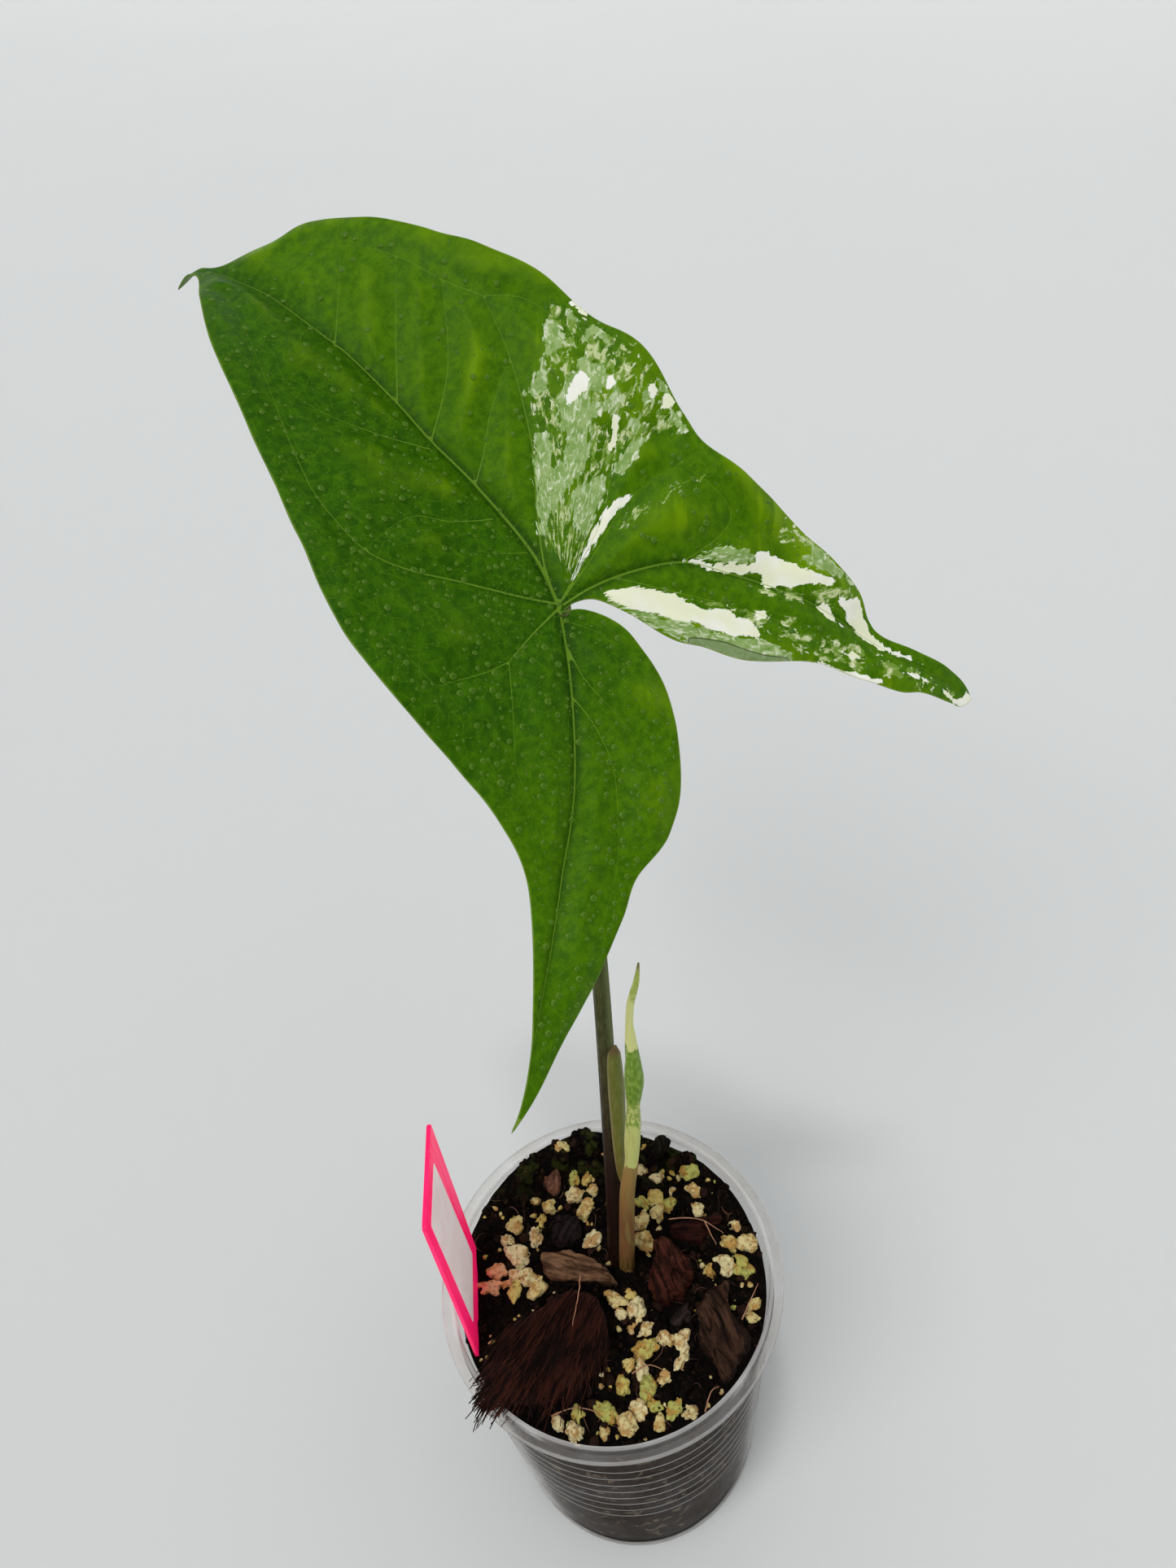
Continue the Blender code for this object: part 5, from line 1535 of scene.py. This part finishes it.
def bark_skin(name, degrees):
    """Bark with dark grain lines and paler worn ridges, running in the piece's own direction."""
    dark, light = BARK_COLOURS[name]
    look = Finish(name + "_skin", Specular_IOR_Level=0.1)
    place = look.place()
    turned_place = look.leaning(place, -math.radians(degrees))
    long_place = look.scaled(turned_place, (0.14, 1.0, 1.0))
    grain = look.noise(long_place, 900.0, 5.0, 0.65, 0.3)
    blotch = look.noise(place, 260.0, 3.0)
    specks = look.noise(place, 2200.0, 4.0, 0.65)
    colour = look.blend(look.ramp(grain, 0.38, 0.62), dark, light)
    colour = look.over(colour, dark, blotch, 0.45, 0.68, 0.6)
    colour = look.over(colour, light, specks, 0.56, 0.7, 0.4)
    # Darker towards the bottom, near the soil.
    low = look.ramp(look.part_of(place), *BARK_DARKENING, 0.0, 0.85)
    colour = look.blend(low, colour, (20, 14, 12))
    height = look.plus(grain, look.times(specks, 0.5))
    return look.done(Base_Color=colour, Roughness=look.ramp(grain, 0.35, 0.65, 0.9, 0.68),
                     Normal=look.bump(height, 0.0002, 0.9))


def build_coir():
    """The chunk of coconut husk: a dense mat, and fibres over it that fan towards the left."""
    outline, top, edge, degrees = CHUNKS["coir_chunk"]
    mesh = slab_mesh("coir_mat", outline, top, edge, int(200 / COARSE), int(44 / COARSE))

    def depth_of(places):
        strands = rough_field(fan(places), 1.0, 2.0)
        lumps = rough_field(places, 0.004, 4.0)
        return 0.00030 * strands + 0.00035 * lumps - 0.0002
    push_corners(mesh, depth_of)
    add_piece(mesh, coir_skin("coir_mat_skin"), "coir_chunk", sharp=60)
    draw = random.Random(COIR_SEED)
    heap = Heap()
    made = 0
    while made < int(COIR_FIBRES / COARSE):
        x, y = (draw.uniform(*span) for span in COIR_SPAN)
        if not inside(x * MM, y * MM, outline, 0.0):
            continue
        made += 1
        heap.add(*fibre(draw, x, y, draw.uniform(3.0, 8.0), top, 0.0), draw.random())
    for _ in range(BRISTLES):
        x, y = (draw.uniform(*span) for span in BRISTLE_SPAN)
        heap.add(*fibre(draw, x, y, 2.4 + 4.5 * draw.random() ** 3, top, 0.4), draw.random())
    heap.piece("coir_fibres", coir_skin("coir_fibre_skin", tinted=True), "coir_chunk")


def fan(places):
    """Places measured round the point that the fibres fan from, stretched along them."""
    x = places[:, 0] - FAN_FOCUS[0] * MM
    y = places[:, 1] - FAN_FOCUS[1] * MM
    turn = np.arctan2(y, x) % math.tau
    return np.column_stack((turn * 70.0, np.hypot(x, y) / 0.012, places[:, 2] / 0.0012))


def fibre(draw, x, y, length, top, loose):
    """One fibre lying over the husk from a place outwards; a loose one stands clear past the rim."""
    heading = math.atan2(y - FAN_FOCUS[1], x - FAN_FOCUS[0]) + draw.gauss(0.0, 0.07)
    bend = draw.gauss(0.0, 0.13)
    points = []
    lift = draw.uniform(-0.05, 0.35) + loose * draw.uniform(0.2, 0.9)
    for share, px, py in bent_line(x, y, heading, bend, length):
        if loose:
            height = top + 0.1 + lift * share * 1.3 - 0.4 * share ** 2 * draw.uniform(0.4, 1.6)
        else:
            drop = 0.0 if inside(px * MM, py * MM, CHUNKS["coir_chunk"][0], 0.0013) else 0.9
            height = top + lift * math.sin(math.pi * share) - drop
        points.append((px * MM, py * MM, height * MM))
    radius = draw.uniform(0.00005, 0.00011) * (1 + 1.2 * loose)
    return swept(points, radius * np.linspace(1.1, 0.7, 7), 4)


def coir_skin(name, tinted=False):
    """Dark husk, streaked the way its fibres run; tinted, some strands are paler than others."""
    look = Finish(name, Specular_IOR_Level=0.15)
    place = look.place()
    leaning = look.leaning(place, -0.92)
    streak = look.noise(look.scaled(leaning, (0.10, 1.0, 1.0)), 1100.0, 4.0, 0.6, 0.3)
    blotch = look.noise(place, 160.0, 3.0)
    colour = look.blend(look.ramp(streak, 0.40, 0.62), (16, 5, 3), (60, 24, 14))
    colour = look.over(colour, (14, 4, 2), blotch, 0.42, 0.66, 0.75)
    if tinted:
        colour = look.over(colour, (82, 38, 22), look.stored("tint"), 0.7, 1.0, 0.7)
    return look.done(Base_Color=colour, Roughness=look.ramp(streak, 0.4, 0.7, 0.9, 0.6),
                     Normal=look.bump(streak, 0.00025, 0.9))


def build_roots():
    """Thin pale roots on the husk and bark, and stray hairs on the soil."""
    heap = Heap()
    draw = random.Random(HAIR_SEED)
    for path in ROOTS:
        points = even_points(path, 0.35)
        points[:, 0] += 0.18 * rough_field(points * 0.8, 1.0, 3.0)
        heap.add(*swept(points * MM, 0.00013 * np.linspace(1.2, 0.5, len(points)), 7), 0.8)
    for _ in range(HAIR_COUNT):
        x, y = drawn_place(draw, HAIR_REACH)
        heading = draw.uniform(0, math.tau)
        bend = draw.gauss(0.0, 1.2)
        points = []
        for share, px, py in bent_line(x, y, heading, bend, draw.uniform(*HAIR_LENGTHS)):
            shrink = min(1.0, HAIR_LIMIT / max(math.hypot(px, py), 1e-6))
            px, py = px * shrink, py * shrink
            points.append((px, py, ground(px, py) + 0.0004 + 0.0008 * math.sin(math.pi * share)))
        heap.add(*swept(points, 0.00006 * np.linspace(1.2, 0.6, 7), 4), draw.random() * 0.6)
    heap.piece("fine_roots", root_skin(), "soil")


def root_skin():
    look = Finish("root_skin", Roughness=0.7)
    patch = look.noise(look.place(), 700.0, 3.0)
    colour = look.blend(look.ramp(look.stored("tint"), 0.2, 0.8), (58, 34, 24), (172, 122, 92))
    colour = look.over(colour, (116, 76, 52), patch, 0.5, 0.7, 0.5)
    return look.done(Base_Color=colour, Normal=look.bump(patch, 0.00008, 0.6))


def build_floor():
    """A plain pale floor that curves up far away, so that it fills the view from every side."""
    profile = [(r, 0.0) for r in (0.5, 1.5, 3.0, 4.0)]
    bends = np.radians(np.linspace(10, 80, 8))
    profile += [(4.0 + 3.0 * math.sin(t), 3.0 - 3.0 * math.cos(t)) for t in bends]
    profile += [(7.0, 3.4), (7.0, 6.5)]
    steps = 96
    corners = np.vstack([circles(profile, steps), [(0.0, 0.0, 0.0)]])
    faces = [face[::-1] for face in ring_faces(len(profile), steps)]
    faces += [(i, (i + 1) % steps, len(corners) - 1) for i in range(steps)]
    mesh = plain_mesh("floor", corners, faces)
    mesh.shade_smooth()
    look = Finish("floor_paint", Roughness=0.9, Specular_IOR_Level=0.1)
    cloud = look.noise(look.place(), 1.5, 2.0)
    mesh.materials.append(look.done(Base_Color=look.blend(cloud, (220, 222, 222), (225, 226, 226))))
    new_object("floor", mesh)


def set_lights():
    """Soft lights from far away, so that the floor is lit evenly, and a pale sky."""
    for name, (towards, strength, width, colour) in LIGHTS.items():
        lamp = bpy.data.lights.new(name, "SUN")
        lamp.energy = strength
        lamp.angle = math.radians(width)
        lamp.color = colour
        new_object(name, lamp).rotation_euler = Vector(towards).to_track_quat("-Z", "Y").to_euler()
    world = bpy.data.worlds.new("studio")
    bpy.context.scene.world = world
    world.use_nodes = True
    background = world.node_tree.nodes["Background"]
    background.inputs["Color"].default_value = SKY_COLOUR
    background.inputs["Strength"].default_value = SKY_STRENGTH
    bpy.context.scene.view_settings.view_transform = "Standard"


def set_camera():
    right = Vector(CAMERA_RIGHT).normalized()
    up = Vector(CAMERA_UP)
    up = (up - right * up.dot(right)).normalized()
    camera = bpy.data.cameras.new("camera")
    camera.sensor_width = SENSOR_MM
    camera.lens = SENSOR_MM * FOCAL_PIXELS / PHOTO_TALL
    camera.clip_start = 0.005
    camera.clip_end = 50.0
    item = new_object("camera", camera)
    turn = Matrix((right, up, right.cross(up))).transposed()
    item.matrix_world = Matrix.Translation(CAMERA_PLACE) @ turn.to_4x4()
    bpy.context.scene.camera = item


def main():
    set_camera()
    set_lights()
    build_floor()
    build_cup()
    build_soil()
    build_crumbs()
    build_pumice()
    build_bark()
    build_coir()
    build_roots()
    build_card()
    build_stalk()
    build_sheath()
    build_new_leaf()
    build_droplets(*build_leaf())


main()
